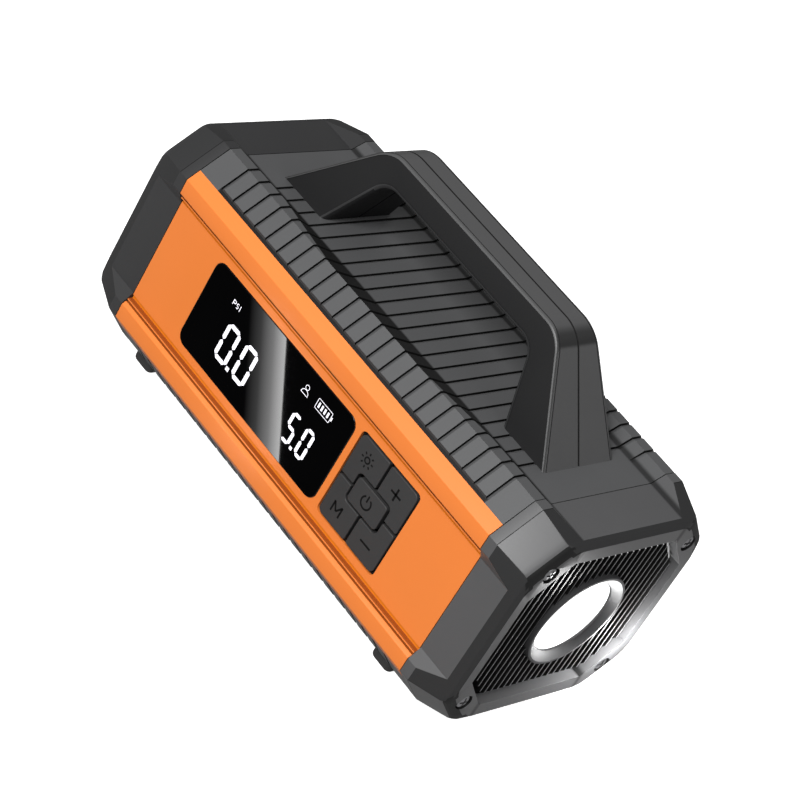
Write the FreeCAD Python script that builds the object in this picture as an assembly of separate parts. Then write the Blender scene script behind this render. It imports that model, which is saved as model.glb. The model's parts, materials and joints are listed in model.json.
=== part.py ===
import FreeCAD, Part
import math
import os

from FreeCAD import Vector

# Jump starter pack with a tyre compressor and a work lamp.
# Row frame: +X along the body towards the lamp, +Z up, -Y towards the display.
# The origin is on the ground under the middle of the body. Everything below is
# drawn about the centre of the body's section, and save() lifts it onto its feet.

# ---- driving dimensions, mm ----
HALF_LEN = 100.0      # centre to the rim of either end cap
SEAM_X = 81.6         # where the caps meet the body
CREASE_X = 85.7       # where the caps start to taper
HALF_W = 46.2         # half width over the side strips
SIDE_H = 29.6         # height of the corner between side strip and chamfer
STRIP_H = 24.0        # inner edge of the side strip
PANEL_W = 43.3        # half width at the sunk side panel
PANEL_H = 19.7        # half height of the sunk side panel
CREST_Y = 33.9        # crest where the chamfer meets the top rail
CREST_H = 41.8        # half height over the crests
RAIL_Y = 29.4         # inner edge of the flat rail
PLATE_Y = 24.4        # edge of the sunk top plate
PLATE_H = 38.7        # half height at the sunk top plate
SPLIT_Y = 42.5        # joint between coloured side panel and black shell
SPLIT_H = 33.3
WALL = 2.6
FOOT_PROUD = 3.2      # how far the feet stand below the crests
BODY_Z = CREST_H + FOOT_PROUD

RIB_PITCH = 6.2
RIB_COUNT = 23        # blocks along the body
RIB_GROOVE = 0.9
RIB_DEPTH = 1.2
MARGIN = 2.2          # plain edge beside the coloured panel
WELL_WIDE = 25.0      # half length over which the finger well takes the whole rail
WELL_TIP = 56.0       # where the finger well runs out
POST_R = 3.4          # posts for the cap screws
POST_X = 66.0
WEB_REACH = 6.5
FOOT_X = (-72.0, 67.5)
FOOT_Y = 29.5
FOOT_HALF = (4.7, 4.9)

RIM_SIDE = 5.2        # how far the cap's rim lies inside the body's outline
RIM_CORNER = 8.9
SHOULDER_X = 98.7
SHOULDER_IN = 3.9
POCKET = (37.0, 18.0, 24.6, 31.4)   # half sizes of the octagonal end pocket
CAP_FLOOR_X = 92.0
PORT_FLOOR_X = 96.0
SCREW_AT = (33.6, 28.1)
SCREW_R = 1.5
HEAD_R = 2.75
HEAD_SEAT_X = 96.0

HANDLE_TOP = 72.0     # top of the grip above the body centre
HANDLE_LEAN = 0.235   # how fast the handle's sides widen towards the body
GRIP_HALF = 9.1       # half width of the grip at its top
LENS_R = 14.8
BEZEL_R = 19.0

GEAR_MODULE = 0.8
GEAR_TEETH = 48
PINION_TEETH = 12
CRANK_R = 5.0
GEAR_X = -50.0
GEAR_Z = 4.0
ROD_Y = 22.0          # plane of the connecting rod, cylinder and air tube

DISPLAY = (-57.0, 20.9, -17.45, 17.45)   # x0, x1, z0, z1
KEYPAD = (23.45, 53.9, -17.5, 17.5)
KEY_GAP = 1.0
POWER_HALF = (7.4, 4.9)
GLASS_SEAT = PANEL_W - 1.6    # back of the display glass
MODULE_BACK = 35.4
BOARD_FACE = 33.8             # inner face of the display board
PAD_PLATE = 39.3              # front of the plate behind the keys
SWITCH_TOP = 36.5

# ---- inside the case, mm ----
CELL_X = (-28.0, 60.0)
CELL_HALF_Y = 32.0
CELL_T = 7.6
TRAY_Z = -34.6
TRAY_T = 1.4
BOARD_Z = 20.0
BOARD_T = 1.6
STANDOFFS = [(-20.0, -27.0), (66.0, -27.0), (-20.0, 4.0), (66.0, 4.0)]
GEAR_Y = (12.0, 19.0)
MOTOR_Y = (-28.0, 9.0)
MOTOR_R = 14.0
SHAFT_R = 1.6
BORE_R = 10.0
CYLINDER_Y = ROD_Y + 1.0
CYLINDER_X = (-29.0, -12.0)
TUBE_Z = 24.0
TUBE_BEND = 5.0
OUTLET_R = 4.1
OUTLET_TIP_X = -99.2
COVER_PIN_X = -PORT_FLOOR_X - 1.2
PIN_R = 0.8
JUMP = (-26.0, -2.0, 1.0, 14.0)    # y0, y1, z0, z1 of the jump socket's flange
USB_A = (-24.0, -10.0, -21.0, -14.0)
USB_C = (-5.0, 5.0, -20.0, -15.5)
COVERS = {"jump": (-29.0, 1.0, 18.5, 20.5), "usb": (-27.0, 8.0, -9.5, 15.0)}   # y0, y1, pin z, drop

os.makedirs("parts", exist_ok=True)


# ---- small makers ----
def save(name, *solids):
    """Writes one node, lifted from the body centre onto its feet."""
    shape = solids[0] if len(solids) == 1 else Part.makeCompound(list(solids))
    placed = shape.copy()
    placed.translate(Vector(0, 0, BODY_Z))
    placed.exportStep(f"parts/{name}.step")


def face_of(points):
    return Part.Face(Part.makePolygon(points + [points[0]]))


def prism_x(outline, x0, x1):
    """A closed (y, z) outline carried from x0 to x1."""
    return face_of([Vector(x0, y, z) for y, z in outline]).extrude(Vector(x1 - x0, 0, 0))


def prism_y(outline, y0, y1):
    """A closed (x, z) outline carried from y0 to y1."""
    return face_of([Vector(x, y0, z) for x, z in outline]).extrude(Vector(0, y1 - y0, 0))


def block(x0, x1, y0, y1, z0, z1):
    return Part.makeBox(x1 - x0, y1 - y0, z1 - z0, Vector(x0, y0, z0))


def rounded_block(x0, x1, y0, y1, z0, z1, radius, axis="y"):
    """A block with the four edges along one axis rounded."""
    box = block(x0, x1, y0, y1, z0, z1)
    way = {"x": Vector(1, 0, 0), "y": Vector(0, 1, 0), "z": Vector(0, 0, 1)}[axis]
    edges = [e for e in box.Edges if abs(e.tangentAt(e.FirstParameter).dot(way)) > 0.99]
    return box.makeFillet(radius, edges)


def rod_x(radius, x0, x1, y=0.0, z=0.0):
    return Part.makeCylinder(radius, x1 - x0, Vector(x0, y, z), Vector(1, 0, 0))


def rod_y(radius, y0, y1, x=0.0, z=0.0):
    return Part.makeCylinder(radius, y1 - y0, Vector(x, y0, z), Vector(0, 1, 0))


def rod_z(radius, z0, z1, x=0.0, y=0.0):
    return Part.makeCylinder(radius, z1 - z0, Vector(x, y, z0), Vector(0, 0, 1))


def turned_x(profile):
    """A closed (x, radius) profile turned about the lamp's axis."""
    face = face_of([Vector(x, 0, r) for x, r in profile])
    return face.revolve(Vector(0, 0, 0), Vector(1, 0, 0), 360)


def all_round(quarter):
    """Mirrors a quarter outline, given from the top to the side, into a whole one."""
    lower = [(y, -z) for y, z in reversed(quarter)]
    right = quarter + lower
    return right + [(-y, -z) for y, z in right]


def octagon(side, side_h, top_y, top):
    return all_round([(top_y, top), (side, side_h)])


def other_end(shape):
    """The same shape at the port end."""
    return shape.mirror(Vector(0, 0, 0), Vector(1, 0, 0))


def other_side(shape):
    """The same shape on the far side of the body."""
    return shape.mirror(Vector(0, 0, 0), Vector(0, 1, 0))


def four_corners(shape):
    across = other_side(shape)
    flip = Vector(0, 0, 1)
    return [shape, across, shape.mirror(Vector(0, 0, 0), flip), across.mirror(Vector(0, 0, 0), flip)]


# ---- body: a tube in four shells ----
OUTLINE = all_round([
    (PLATE_Y, PLATE_H), (RAIL_Y, CREST_H), (CREST_Y, CREST_H),
    (HALF_W, SIDE_H), (HALF_W, STRIP_H), (PANEL_W, PANEL_H),
])
CHAMFER_SUM = HALF_W + SIDE_H
INNER_SUM = CHAMFER_SUM - WALL * math.sqrt(2)
INNER_W = PANEL_W - WALL
INNER_H = PLATE_H - WALL
INSIDE = octagon(INNER_W, INNER_SUM - INNER_W, INNER_SUM - INNER_H, INNER_H)
SECTOR_REACH = 12.0


def body_tube():
    return prism_x(OUTLINE, -SEAM_X, SEAM_X).cut(prism_x(INSIDE, -SEAM_X, SEAM_X))


def shell_sector():
    """The slice of space that the black top shell fills."""
    near = (SPLIT_Y - SECTOR_REACH, SPLIT_H - SECTOR_REACH)
    far = (SPLIT_Y + SECTOR_REACH, SPLIT_H + SECTOR_REACH)
    above = 2 * CREST_H
    outline = [far, near, (-near[0], near[1]), (-far[0], far[1]), (-far[0], above), (far[0], above)]
    return prism_x(outline, -SEAM_X, SEAM_X)


def side_sector():
    """The slice of space that the display side panel fills."""
    near = (-SPLIT_Y + SECTOR_REACH, SPLIT_H - SECTOR_REACH)
    far = (-SPLIT_Y - SECTOR_REACH, SPLIT_H + SECTOR_REACH)
    return prism_x([far, near, (near[0], -near[1]), (far[0], -far[1])], -SEAM_X, SEAM_X)


def rib_skin(x0, x1):
    """The outer skin of the top shell that a groove between two blocks removes."""
    edge_y = SPLIT_Y - MARGIN / math.sqrt(2)
    edge_h = SPLIT_H + MARGIN / math.sqrt(2)
    cut = RIB_DEPTH * math.sqrt(2)
    outline = [
        (edge_y + cut, edge_h), (edge_y - cut, edge_h), (CREST_Y - 0.5, CREST_H - RIB_DEPTH),
        (RAIL_Y + 0.4, CREST_H - RIB_DEPTH), (PLATE_Y + 0.4, PLATE_H - RIB_DEPTH),
    ]
    outline += [(-y, z) for y, z in reversed(outline)]
    outline += [(-edge_y - cut, CREST_H + 4), (edge_y + cut, CREST_H + 4)]
    return prism_x(outline, x0, x1)


def finger_well():
    """Opens the rails under the grip, so that the plate's slope starts at the crest."""
    wide, tip = WELL_WIDE, WELL_TIP
    plan = [(-tip, RAIL_Y), (-wide, CREST_Y), (wide, CREST_Y), (tip, RAIL_Y)]
    plan += [(x, -y) for x, y in reversed(plan)]
    column = face_of([Vector(x, y, 0) for x, y in plan]).extrude(Vector(0, 0, 2 * CREST_H))
    slope = [(CREST_Y, CREST_H), (PLATE_Y, PLATE_H), (-PLATE_Y, PLATE_H), (-CREST_Y, CREST_H)]
    return prism_x(slope, -tip, tip).common(column)


def ribbed_shell():
    shell = body_tube().common(shell_sector())
    shell = shell.cut(finger_well())
    first = -RIB_PITCH * RIB_COUNT / 2
    grooves = []
    for i in range(RIB_COUNT + 1):
        x = first + i * RIB_PITCH
        grooves.append(rib_skin(x - RIB_GROOVE / 2, x + RIB_GROOVE / 2))
    return shell.cut(grooves)


def screw_posts(shell):
    """Adds the four posts that the end caps' screws bite into."""
    y, z = SCREW_AT
    reach = WEB_REACH
    for side in (-1, 1):
        for end in (-1, 1):
            x0, x1 = sorted((end * POST_X, end * SEAM_X))
            root = [(y - 2, z + 2), (y + 2, z - 2)]
            tip = [(a + reach, b + reach) for a, b in reversed(root)]
            web = prism_x([(side * a, b) for a, b in root + tip], x0, x1)
            web = web.common(prism_x(OUTLINE, x0, x1)).common(shell_sector())
            post = rod_x(POST_R, x0, x1, side * y, z).fuse(web)
            shell = shell.fuse(post)
            shell = shell.cut(rod_x(SCREW_R, x0, x1, side * y, z))
    return shell.removeSplitter()


def panel_hole(rect, radius):
    x0, x1, z0, z1 = rect
    return rounded_block(x0, x1, -HALF_W - 1, -MODULE_BACK, z0, z1, radius)


top_shell = screw_posts(ribbed_shell())
bottom_shell = top_shell.mirror(Vector(0, 0, 0), Vector(0, 0, 1))
side_panel = body_tube().common(side_sector())
save("back_side_panel", other_side(side_panel))
save("display_side_panel", side_panel.cut([panel_hole(DISPLAY, 4.0), panel_hole(KEYPAD, 1.9)]))


# ---- end caps ----
def cap_outline(side_in, corner_in):
    """The body's plain outline, with its sides and its corners moved inwards."""
    side, top = HALF_W - side_in, CREST_H - side_in
    total = CHAMFER_SUM - corner_in * math.sqrt(2)
    return octagon(side, total - side, total - top, top)


def loft_x(outline0, x0, outline1, x1):
    wires = []
    for outline, x in ((outline0, x0), (outline1, x1)):
        points = [Vector(x, y, z) for y, z in outline]
        wires.append(Part.makePolygon(points + [points[0]]))
    return Part.makeLoft(wires, True, True)


def cap_blank():
    """The solid end of the body: straight, then tapered, then bevelled to the rim."""
    plain = cap_outline(0, 0)
    shoulder = cap_outline(SHOULDER_IN, SHOULDER_IN + 0.5)
    rim = cap_outline(RIM_SIDE, RIM_CORNER)
    solid = prism_x(plain, SEAM_X, CREASE_X)
    taper = loft_x(plain, CREASE_X, shoulder, SHOULDER_X)
    bevel = loft_x(shoulder, SHOULDER_X, rim, HALF_LEN)
    solid = solid.fuse([taper, bevel])
    return solid.common(prism_x(OUTLINE, SEAM_X, HALF_LEN)).removeSplitter()


def cap_shell(floor_x):
    """The cap hollowed behind its floor, with its pocket and its four screw holes."""
    y, z = SCREW_AT
    cavity = prism_x(octagon(38.5, 27.5, 32.1, 33.9), SEAM_X, floor_x - WALL)
    pocket = prism_x(octagon(*POCKET), floor_x, HALF_LEN + 1)
    screw = rod_x(SCREW_R + 0.2, SEAM_X, HALF_LEN, y, z).fuse(rod_x(3.1, HEAD_SEAT_X, HALF_LEN + 1, y, z))
    seat = rod_x(4.2, SEAM_X, floor_x, y, z).cut(rod_x(SCREW_R + 0.2, SEAM_X, floor_x, y, z))
    shell = cap_blank().cut([cavity, pocket])
    shell = shell.fuse([s.common(cap_blank()) for s in four_corners(seat)])
    return shell.cut(four_corners(screw))


def cap_screw():
    y, z = SCREW_AT
    head = rod_x(HEAD_R, HEAD_SEAT_X, HEAD_SEAT_X + 2.0, y, z)
    shank = rod_x(SCREW_R, 70.0, HEAD_SEAT_X, y, z)
    slot_a = block(HEAD_SEAT_X + 1.1, HEAD_SEAT_X + 3, y - 1.7, y + 1.7, z - 0.35, z + 0.35)
    slot_b = block(HEAD_SEAT_X + 1.1, HEAD_SEAT_X + 3, y - 0.35, y + 0.35, z - 1.7, z + 1.7)
    return head.fuse(shank).cut([slot_a, slot_b])


lamp_end_cap = cap_shell(CAP_FLOOR_X).cut(rod_x(14.2, SEAM_X, HALF_LEN))
save("lamp_end_cap", lamp_end_cap)
save("lamp_cap_screws", *four_corners(cap_screw()))
save("port_cap_screws", *[other_end(s) for s in four_corners(cap_screw())])


# ---- work lamp and fin grille ----
FIN_COUNT = 24
FIN_PITCH = 3.0
FIN_HALF = 0.45
FIN_EDGE_X = (CAP_FLOOR_X + 1.2, 95.4, 98.2)
FIN_LEAN = 7.4        # how far the fins' ends lean back


def fin_profile(y):
    """One upright fin: its ends lean back to the pocket's wall."""
    side, side_h, top_y, top = POCKET
    over = max(0.0, abs(y) + FIN_HALF - top_y)
    top = top - over * (top - side_h) / (side - top_y) - 0.1
    x0, x1, x2 = FIN_EDGE_X
    return [(x0, -top), (x1, -top), (x2, FIN_LEAN - top), (x2, top - FIN_LEAN), (x1, top), (x0, top)]


def fin_grille():
    side, side_h, top_y, top = POCKET
    plate = prism_x(octagon(side - 0.1, side_h, top_y, top - 0.1), CAP_FLOOR_X, FIN_EDGE_X[0])
    fins = []
    for i in range(FIN_COUNT):
        y = (i - (FIN_COUNT - 1) / 2) * FIN_PITCH
        fins.append(prism_y(fin_profile(y), y - FIN_HALF, y + FIN_HALF))
    return plate.fuse(fins).cut(rod_x(BEZEL_R, CAP_FLOOR_X - 1, HALF_LEN))


save("fin_grille", fin_grille())
LAMP_SEAT_R = LENS_R + 0.1
LAMP_STEP_R = 13.4
save("lamp_bezel", turned_x([
    (CAP_FLOOR_X, BEZEL_R), (99.6, BEZEL_R), (99.6, BEZEL_R - 0.9), (97.7, LAMP_SEAT_R),
    (95.0, LAMP_SEAT_R), (95.0, LAMP_STEP_R), (CAP_FLOOR_X, LAMP_STEP_R),
]))
save("lens_gasket", turned_x([
    (95.0, LAMP_SEAT_R), (95.6, LAMP_SEAT_R), (95.6, LAMP_STEP_R), (95.0, LAMP_STEP_R),
]))
save("lamp_lens", turned_x([(95.6, 0), (95.6, LENS_R), (97.3, LENS_R), (97.8, 12.0), (98.1, 8.0), (98.2, 0)]))
save("lamp_reflector", turned_x([(87.6, 5.0), (87.6, 5.8), (94.8, 13.2), (94.8, 12.4)]))
save("lamp_led", rounded_block(86.0, 87.3, -4.5, 4.5, -4.5, 4.5, 0.8, "x"))
save("lamp_board", rod_x(17.0, 84.4, 86.0))
sink = rod_x(19.0, 76.0, 84.4)
gaps = [block(75.0, 82.4, y - 1.2, y + 1.2, -20, 20) for y in (-15, -10, -5, 0, 5, 10, 15)]
save("lamp_heat_sink", sink.cut(gaps))


# ---- handle ----
HANDLE_FOOT_Z = PLATE_H - 0.3
HANDLE_OUTER_X = (70.2, 43.7)    # at the foot, at the grip
HANDLE_INNER_X = (48.4, 37.7)
GRIP_UNDER_Z = 62.0
HANDLE_BOLT_X = 59.0
DOWEL_R = 1.7
DOWELS = [(-45.0, 62.0), (45.0, 62.0), (-57.0, 48.0), (57.0, 48.0)]
HANDLE_BOLTS = [(x, y) for x in (-HANDLE_BOLT_X, HANDLE_BOLT_X) for y in (-9.0, 9.0)]


def arch(foot_x, top_x, top, radius):
    """The solid under one edge of the arch, with its two upper corners rounded."""
    outline = [(-foot_x, HANDLE_FOOT_Z), (-top_x, top), (top_x, top), (foot_x, HANDLE_FOOT_Z)]
    solid = prism_y(outline, 0, 20.0)
    level = [e for e in solid.Edges if abs(e.tangentAt(e.FirstParameter).y) > 0.99]
    return solid.makeFillet(radius, [e for e in level if e.CenterOfMass.z > top - 1])


def handle_half():
    """The half on the back side: its outer face leans out towards the body."""
    foot_half = GRIP_HALF + HANDLE_LEAN * (HANDLE_TOP - HANDLE_FOOT_Z)
    section = [(0, HANDLE_FOOT_Z), (foot_half, HANDLE_FOOT_Z), (GRIP_HALF, HANDLE_TOP), (0, HANDLE_TOP)]
    bow = arch(*HANDLE_OUTER_X, HANDLE_TOP, 13.0).cut(arch(*HANDLE_INNER_X, GRIP_UNDER_Z, 8.0))
    below = block(-80, 80, -1, 40, 0, PLATE_H)
    return bow.common(prism_x(section, -80, 80)).cut(below)


dowel_holes = [rod_y(DOWEL_R, -1, 6.0, x, z) for x, z in DOWELS]
pilot_holes = [rod_z(1.6, PLATE_H - 1, PLATE_H + 7, x, y) for x, y in HANDLE_BOLTS]
back_half = handle_half().cut(dowel_holes + pilot_holes)
save("handle_back_half", back_half)
save("handle_display_half", other_side(back_half))
save("handle_dowels", *[rod_y(DOWEL_R, -6.0, 6.0, x, z) for x, z in DOWELS])
head_z = INNER_H - 3.0
save("handle_screws", *[
    rod_z(1.6, head_z, PLATE_H + 7, x, y).fuse(rod_z(3.0, head_z, INNER_H, x, y)) for x, y in HANDLE_BOLTS
])
save("top_shell", top_shell.cut([rod_z(1.6, INNER_H - 5, PLATE_H + 1, x, y) for x, y in HANDLE_BOLTS]))


# ---- feet ----
def foot_block(x, y):
    half_x, half_y = FOOT_HALF
    top = -PLATE_H + RIB_DEPTH
    return rounded_block(x - half_x, x + half_x, y - half_y, y + half_y, -BODY_Z, top, 2.0, "z")


def foot(x, y):
    """A rubber pad, pressed into a seat in the bottom shell, with its lower edge rounded."""
    pad = foot_block(x, y)
    lower_edge = [e for e in pad.Edges if abs(e.CenterOfMass.z + BODY_Z) < 0.01]
    return pad.makeFillet(1.3, lower_edge)


corners_at = [(x, y) for x in FOOT_X for y in (-FOOT_Y, FOOT_Y)]
save("rubber_feet", *[foot(x, y) for x, y in corners_at])
save("bottom_shell", bottom_shell.cut([foot_block(x, y) for x, y in corners_at]))


# ---- display and keypad ----
def inset(rect, by):
    x0, x1, z0, z1 = rect
    return x0 + by, x1 - by, z0 + by, z1 - by


def plate_y(rect, by, y0, y1, radius):
    """A rounded plate that lies in the display side's wall."""
    x0, x1, z0, z1 = inset(rect, by)
    return rounded_block(x0, x1, y0, y1, z0, z1, radius)


save("display_glass", plate_y(DISPLAY, 0.15, -PANEL_W - 0.2, -GLASS_SEAT, 3.9))
save("display_module", plate_y(DISPLAY, 2.0, -GLASS_SEAT, -MODULE_BACK, 1.0))
save("display_board", block(-60.0, 56.0, -MODULE_BACK, -BOARD_FACE, -18.5, 18.5))

PAD_X = (KEYPAD[0] + KEYPAD[1]) / 2
PAD_HALF_X = (KEYPAD[1] - KEYPAD[0]) / 2
PAD_HALF_Z = KEYPAD[3]
KEY_EDGE = 1.0        # from the hole in the panel to the keys
KEY_FACE = -PANEL_W - 0.3
KEY_BACK = -PANEL_W + 2.2
KEY_STEMS = {
    "light_key": (PAD_X - 9.5, 11.0), "plus_key": (PAD_X + 9.5, 11.0),
    "mode_key": (PAD_X - 9.5, -11.0), "minus_key": (PAD_X + 9.5, -11.0),
    "power_key": (PAD_X, 0.0),
}
stem_holes = [rod_y(1.9, -PAD_PLATE - 1, -PAD_PLATE + 2, x, z) for x, z in KEY_STEMS.values()]
save("keypad_plate", plate_y(KEYPAD, 0.1, -PAD_PLATE, -PAD_PLATE + 1.2, 1.8).cut(stem_holes))
frame_hole = plate_y(KEYPAD, 0.8, -HALF_W, -PAD_PLATE + 1, 1.1)
save("keypad_frame", plate_y(KEYPAD, 0.1, -PANEL_W + 0.9, -PAD_PLATE, 1.8).cut(frame_hole))


def key_stem(name):
    """The post behind a key that presses its switch."""
    x, z = KEY_STEMS[name]
    return rod_y(1.5, KEY_BACK, -SWITCH_TOP - 1.0, x, z)


def corner_key(x_side, z_side):
    """A quarter of the pad, cut back round the power key."""
    ends_x = sorted((PAD_X + x_side * KEY_GAP / 2, PAD_X + x_side * (PAD_HALF_X - KEY_EDGE)))
    ends_z = sorted((z_side * KEY_GAP / 2, z_side * (PAD_HALF_Z - KEY_EDGE)))
    cap = rounded_block(*ends_x, KEY_FACE, KEY_BACK, *ends_z, 0.9)
    clear_x, clear_z = POWER_HALF[0] + KEY_GAP, POWER_HALF[1] + KEY_GAP
    hole = rounded_block(PAD_X - clear_x, PAD_X + clear_x, KEY_FACE - 1, KEY_BACK + 1, -clear_z, clear_z, 2.4)
    return cap.cut(hole)


key_sides = {"light_key": (-1, 1), "plus_key": (1, 1), "mode_key": (-1, -1), "minus_key": (1, -1)}
for name, (x_side, z_side) in key_sides.items():
    save(name, corner_key(x_side, z_side).fuse(key_stem(name)))
half_x, half_z = POWER_HALF
power = rounded_block(PAD_X - half_x, PAD_X + half_x, KEY_FACE - 0.3, KEY_BACK, -half_z, half_z, 2.0)
save("power_key", power.fuse(key_stem("power_key")))
save("key_switches", *[
    block(x - 1.5, x + 1.5, -SWITCH_TOP, -MODULE_BACK, z - 1.5, z + 1.5) for x, z in KEY_STEMS.values()
])


# ---- battery ----
cells = []
tabs = []
for i in range(3):
    z = TRAY_Z + TRAY_T + i * (CELL_T + 0.3)
    cells.append(rounded_block(*CELL_X, -CELL_HALF_Y, CELL_HALF_Y, z, z + CELL_T, 2.5, "x"))
    for y in (-18.0, 10.0):
        tabs.append(block(CELL_X[1], CELL_X[1] + 3.0, y, y + 8.0, z + CELL_T / 2 - 0.2, z + CELL_T / 2 + 0.2))
save("battery_cells", *cells)
save("cell_tabs", *tabs)
tray_half = CELL_HALF_Y + 0.2
tray_x = (CELL_X[0], CELL_X[1] + 3.2)
tray_out = tray_half + TRAY_T
tray = block(tray_x[0] - TRAY_T, tray_x[1] + TRAY_T, -tray_out, tray_out, TRAY_Z, TRAY_Z + 16.0)
save("battery_tray", tray.cut(block(*tray_x, -tray_half, tray_half, TRAY_Z + TRAY_T, TRAY_Z + 20.0)))

# ---- main board ----
board_top = BOARD_Z + BOARD_T
board = block(-24.0, 70.0, -31.0, 8.0, BOARD_Z, board_top)
save("main_board", board.cut([rod_z(1.3, BOARD_Z - 1, board_top + 1, x, y) for x, y in STANDOFFS]))
save("board_standoffs", *[
    rod_z(2.6, board_top, INNER_H, x, y).fuse(rod_z(1.25, BOARD_Z - 0.2, board_top, x, y))
    for x, y in STANDOFFS
])
save("jump_relay", rounded_block(30.0, 54.0, -24.0, -6.0, BOARD_Z - 14.0, BOARD_Z, 1.2, "z"))
save("capacitors", *[rod_z(4.0, BOARD_Z - 12.0, BOARD_Z, i * 10.0, -2.0) for i in range(3)])
save("pressure_sensor", rounded_block(-20.0, -11.0, -12.0, -3.0, BOARD_Z - 6.0, BOARD_Z, 1.0, "z"))


# ---- compressor ----
def gear_outline(teeth, turn):
    """Straight-flanked teeth with backlash: root, tip, tip and root points for each tooth."""
    pitch_r = GEAR_MODULE * teeth / 2
    root_r = pitch_r - 1.2 * GEAR_MODULE
    tip_r = pitch_r + 0.8 * GEAR_MODULE
    step = 2 * math.pi / teeth
    outline = []
    for i in range(teeth):
        centre = i * step + turn
        for radius, part in ((root_r, -0.30), (tip_r, -0.12), (tip_r, 0.12), (root_r, 0.30)):
            angle = centre + part * step
            outline.append((radius * math.cos(angle), radius * math.sin(angle)))
    return outline


def along_motor(radius, y0, y1):
    return rod_y(radius, y0, y1, GEAR_X, MOTOR_Z)


MOTOR_Z = GEAR_Z - GEAR_MODULE * (GEAR_TEETH + PINION_TEETH) / 2
FRAME_Y = (9.0, 11.4)
AXLE_R = 2.5
gear = prism_y([(GEAR_X + x, GEAR_Z + z) for x, z in gear_outline(GEAR_TEETH, 0)], *GEAR_Y)
crank_pin = rod_y(2.0, GEAR_Y[1], 24.4, GEAR_X + CRANK_R, GEAR_Z)
save("crank_gear", gear.cut(rod_y(AXLE_R + 0.05, 10, 20, GEAR_X, GEAR_Z)).fuse(crank_pin))
pinion_points = gear_outline(PINION_TEETH, math.pi / PINION_TEETH)
pinion = prism_y([(GEAR_X + x, MOTOR_Z + z) for x, z in pinion_points], GEAR_Y[0] + 0.2, GEAR_Y[1] - 0.2)
save("motor_pinion", pinion.cut(along_motor(SHAFT_R, 10, 20)))
save("motor_shaft", along_motor(SHAFT_R, -30.0, 20.0))
save("motor_armature", along_motor(10.0, -22.0, 4.0).cut(along_motor(SHAFT_R, -40, 20)))
can = along_motor(MOTOR_R, *MOTOR_Y).cut(along_motor(MOTOR_R - 1.4, MOTOR_Y[0] + 1.2, MOTOR_Y[1] - 1.2))
save("motor_case", can.cut(along_motor(SHAFT_R + 0.06, -40, 20)))
save("motor_magnet_ring", along_motor(MOTOR_R - 1.4, -20.0, 2.0).cut(along_motor(10.6, -21, 3)))
pump_plate = rounded_block(-74.0, -31.0, *FRAME_Y, -33.5, 22.0, 4.0).cut(along_motor(3.0, 8, 12))
pump_plate = pump_plate.fuse(rod_y(AXLE_R, FRAME_Y[0], GEAR_Y[1] + 0.4, GEAR_X, GEAR_Z))
pump_arm = block(-33.0, -29.2, *FRAME_Y, -8.0, 16.0).fuse(block(-30.5, -8.0, 7.4, 11.0, -8.0, 16.0))
save("pump_frame", pump_plate.fuse(pump_arm))

barrel = rod_x(BORE_R + 2.0, *CYLINDER_X, CYLINDER_Y, GEAR_Z)
save("pump_cylinder", barrel.cut(rod_x(BORE_R, *CYLINDER_X, CYLINDER_Y, GEAR_Z)))
HEAD_X = (CYLINDER_X[1], CYLINDER_X[1] + 6.0)
HEAD_HALF = 11.0
PORT_X = HEAD_X[0] + 3.0
head_y = (CYLINDER_Y - 12.0, CYLINDER_Y + 12.0)
head = rounded_block(*HEAD_X, *head_y, GEAR_Z - HEAD_HALF, GEAR_Z + HEAD_HALF, 3.0, "x")
nipple = rod_z(2.0, GEAR_Z + HEAD_HALF, GEAR_Z + HEAD_HALF + 2.0, PORT_X, CYLINDER_Y)
head_port = rod_z(1.2, GEAR_Z + 2, GEAR_Z + HEAD_HALF + 2.0, PORT_X, CYLINDER_Y)
save("cylinder_head", head.fuse(nipple).cut(head_port))
# the rod ends in a long eye, so that the crank pin turns clear inside it
eye = rounded_block(-60.5, -29.5, ROD_Y - 2.0, ROD_Y + 2.0, GEAR_Z - 10.3, GEAR_Z + 10.3, 9.0)
eye_hole = rounded_block(-57.4, -32.6, ROD_Y - 3.0, ROD_Y + 3.0, GEAR_Z - 7.4, GEAR_Z + 7.4, 7.2)
neck = rod_x(3.0, -30.5, -19.0, ROD_Y, GEAR_Z)
piston = rod_x(BORE_R - 0.05, -19.5, -14.0, CYLINDER_Y, GEAR_Z)
save("piston_rod", eye.cut(eye_hole).fuse([neck, piston]))

# air tube: up from the head, one bend, then straight to the outlet
start = Vector(PORT_X, CYLINDER_Y, GEAR_Z + HEAD_HALF + 2.0)
bend0 = Vector(PORT_X, CYLINDER_Y, TUBE_Z - TUBE_BEND)
chord = TUBE_BEND * (1 - math.cos(math.pi / 4))
middle = Vector(PORT_X - chord, CYLINDER_Y, TUBE_Z - chord)
bend1 = Vector(PORT_X - TUBE_BEND, CYLINDER_Y, TUBE_Z)
finish = Vector(-88.0, CYLINDER_Y, TUBE_Z)
path = Part.Wire([
    Part.LineSegment(start, bend0).toShape(),
    Part.Arc(bend0, middle, bend1).toShape(),
    Part.LineSegment(bend1, finish).toShape(),
])


def along_path(radius):
    ring = Part.Wire(Part.makeCircle(radius, start, Vector(0, 0, 1)))
    return path.makePipeShell([ring], True, False)


save("air_tube", along_path(2.6).cut(along_path(1.4)))


# ---- port end ----
def along_outlet(radius, x0, x1):
    return rod_x(radius, x0, x1, CYLINDER_Y, TUBE_Z)


outlet_body = along_outlet(6.0, OUTLET_TIP_X, -PORT_FLOOR_X).fuse(along_outlet(4.9, -PORT_FLOOR_X, -88.0))
outlet_bores = [along_outlet(OUTLET_R, OUTLET_TIP_X, OUTLET_TIP_X + 8.0), along_outlet(1.4, -92, -88)]
save("air_outlet", outlet_body.cut(outlet_bores))

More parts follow.
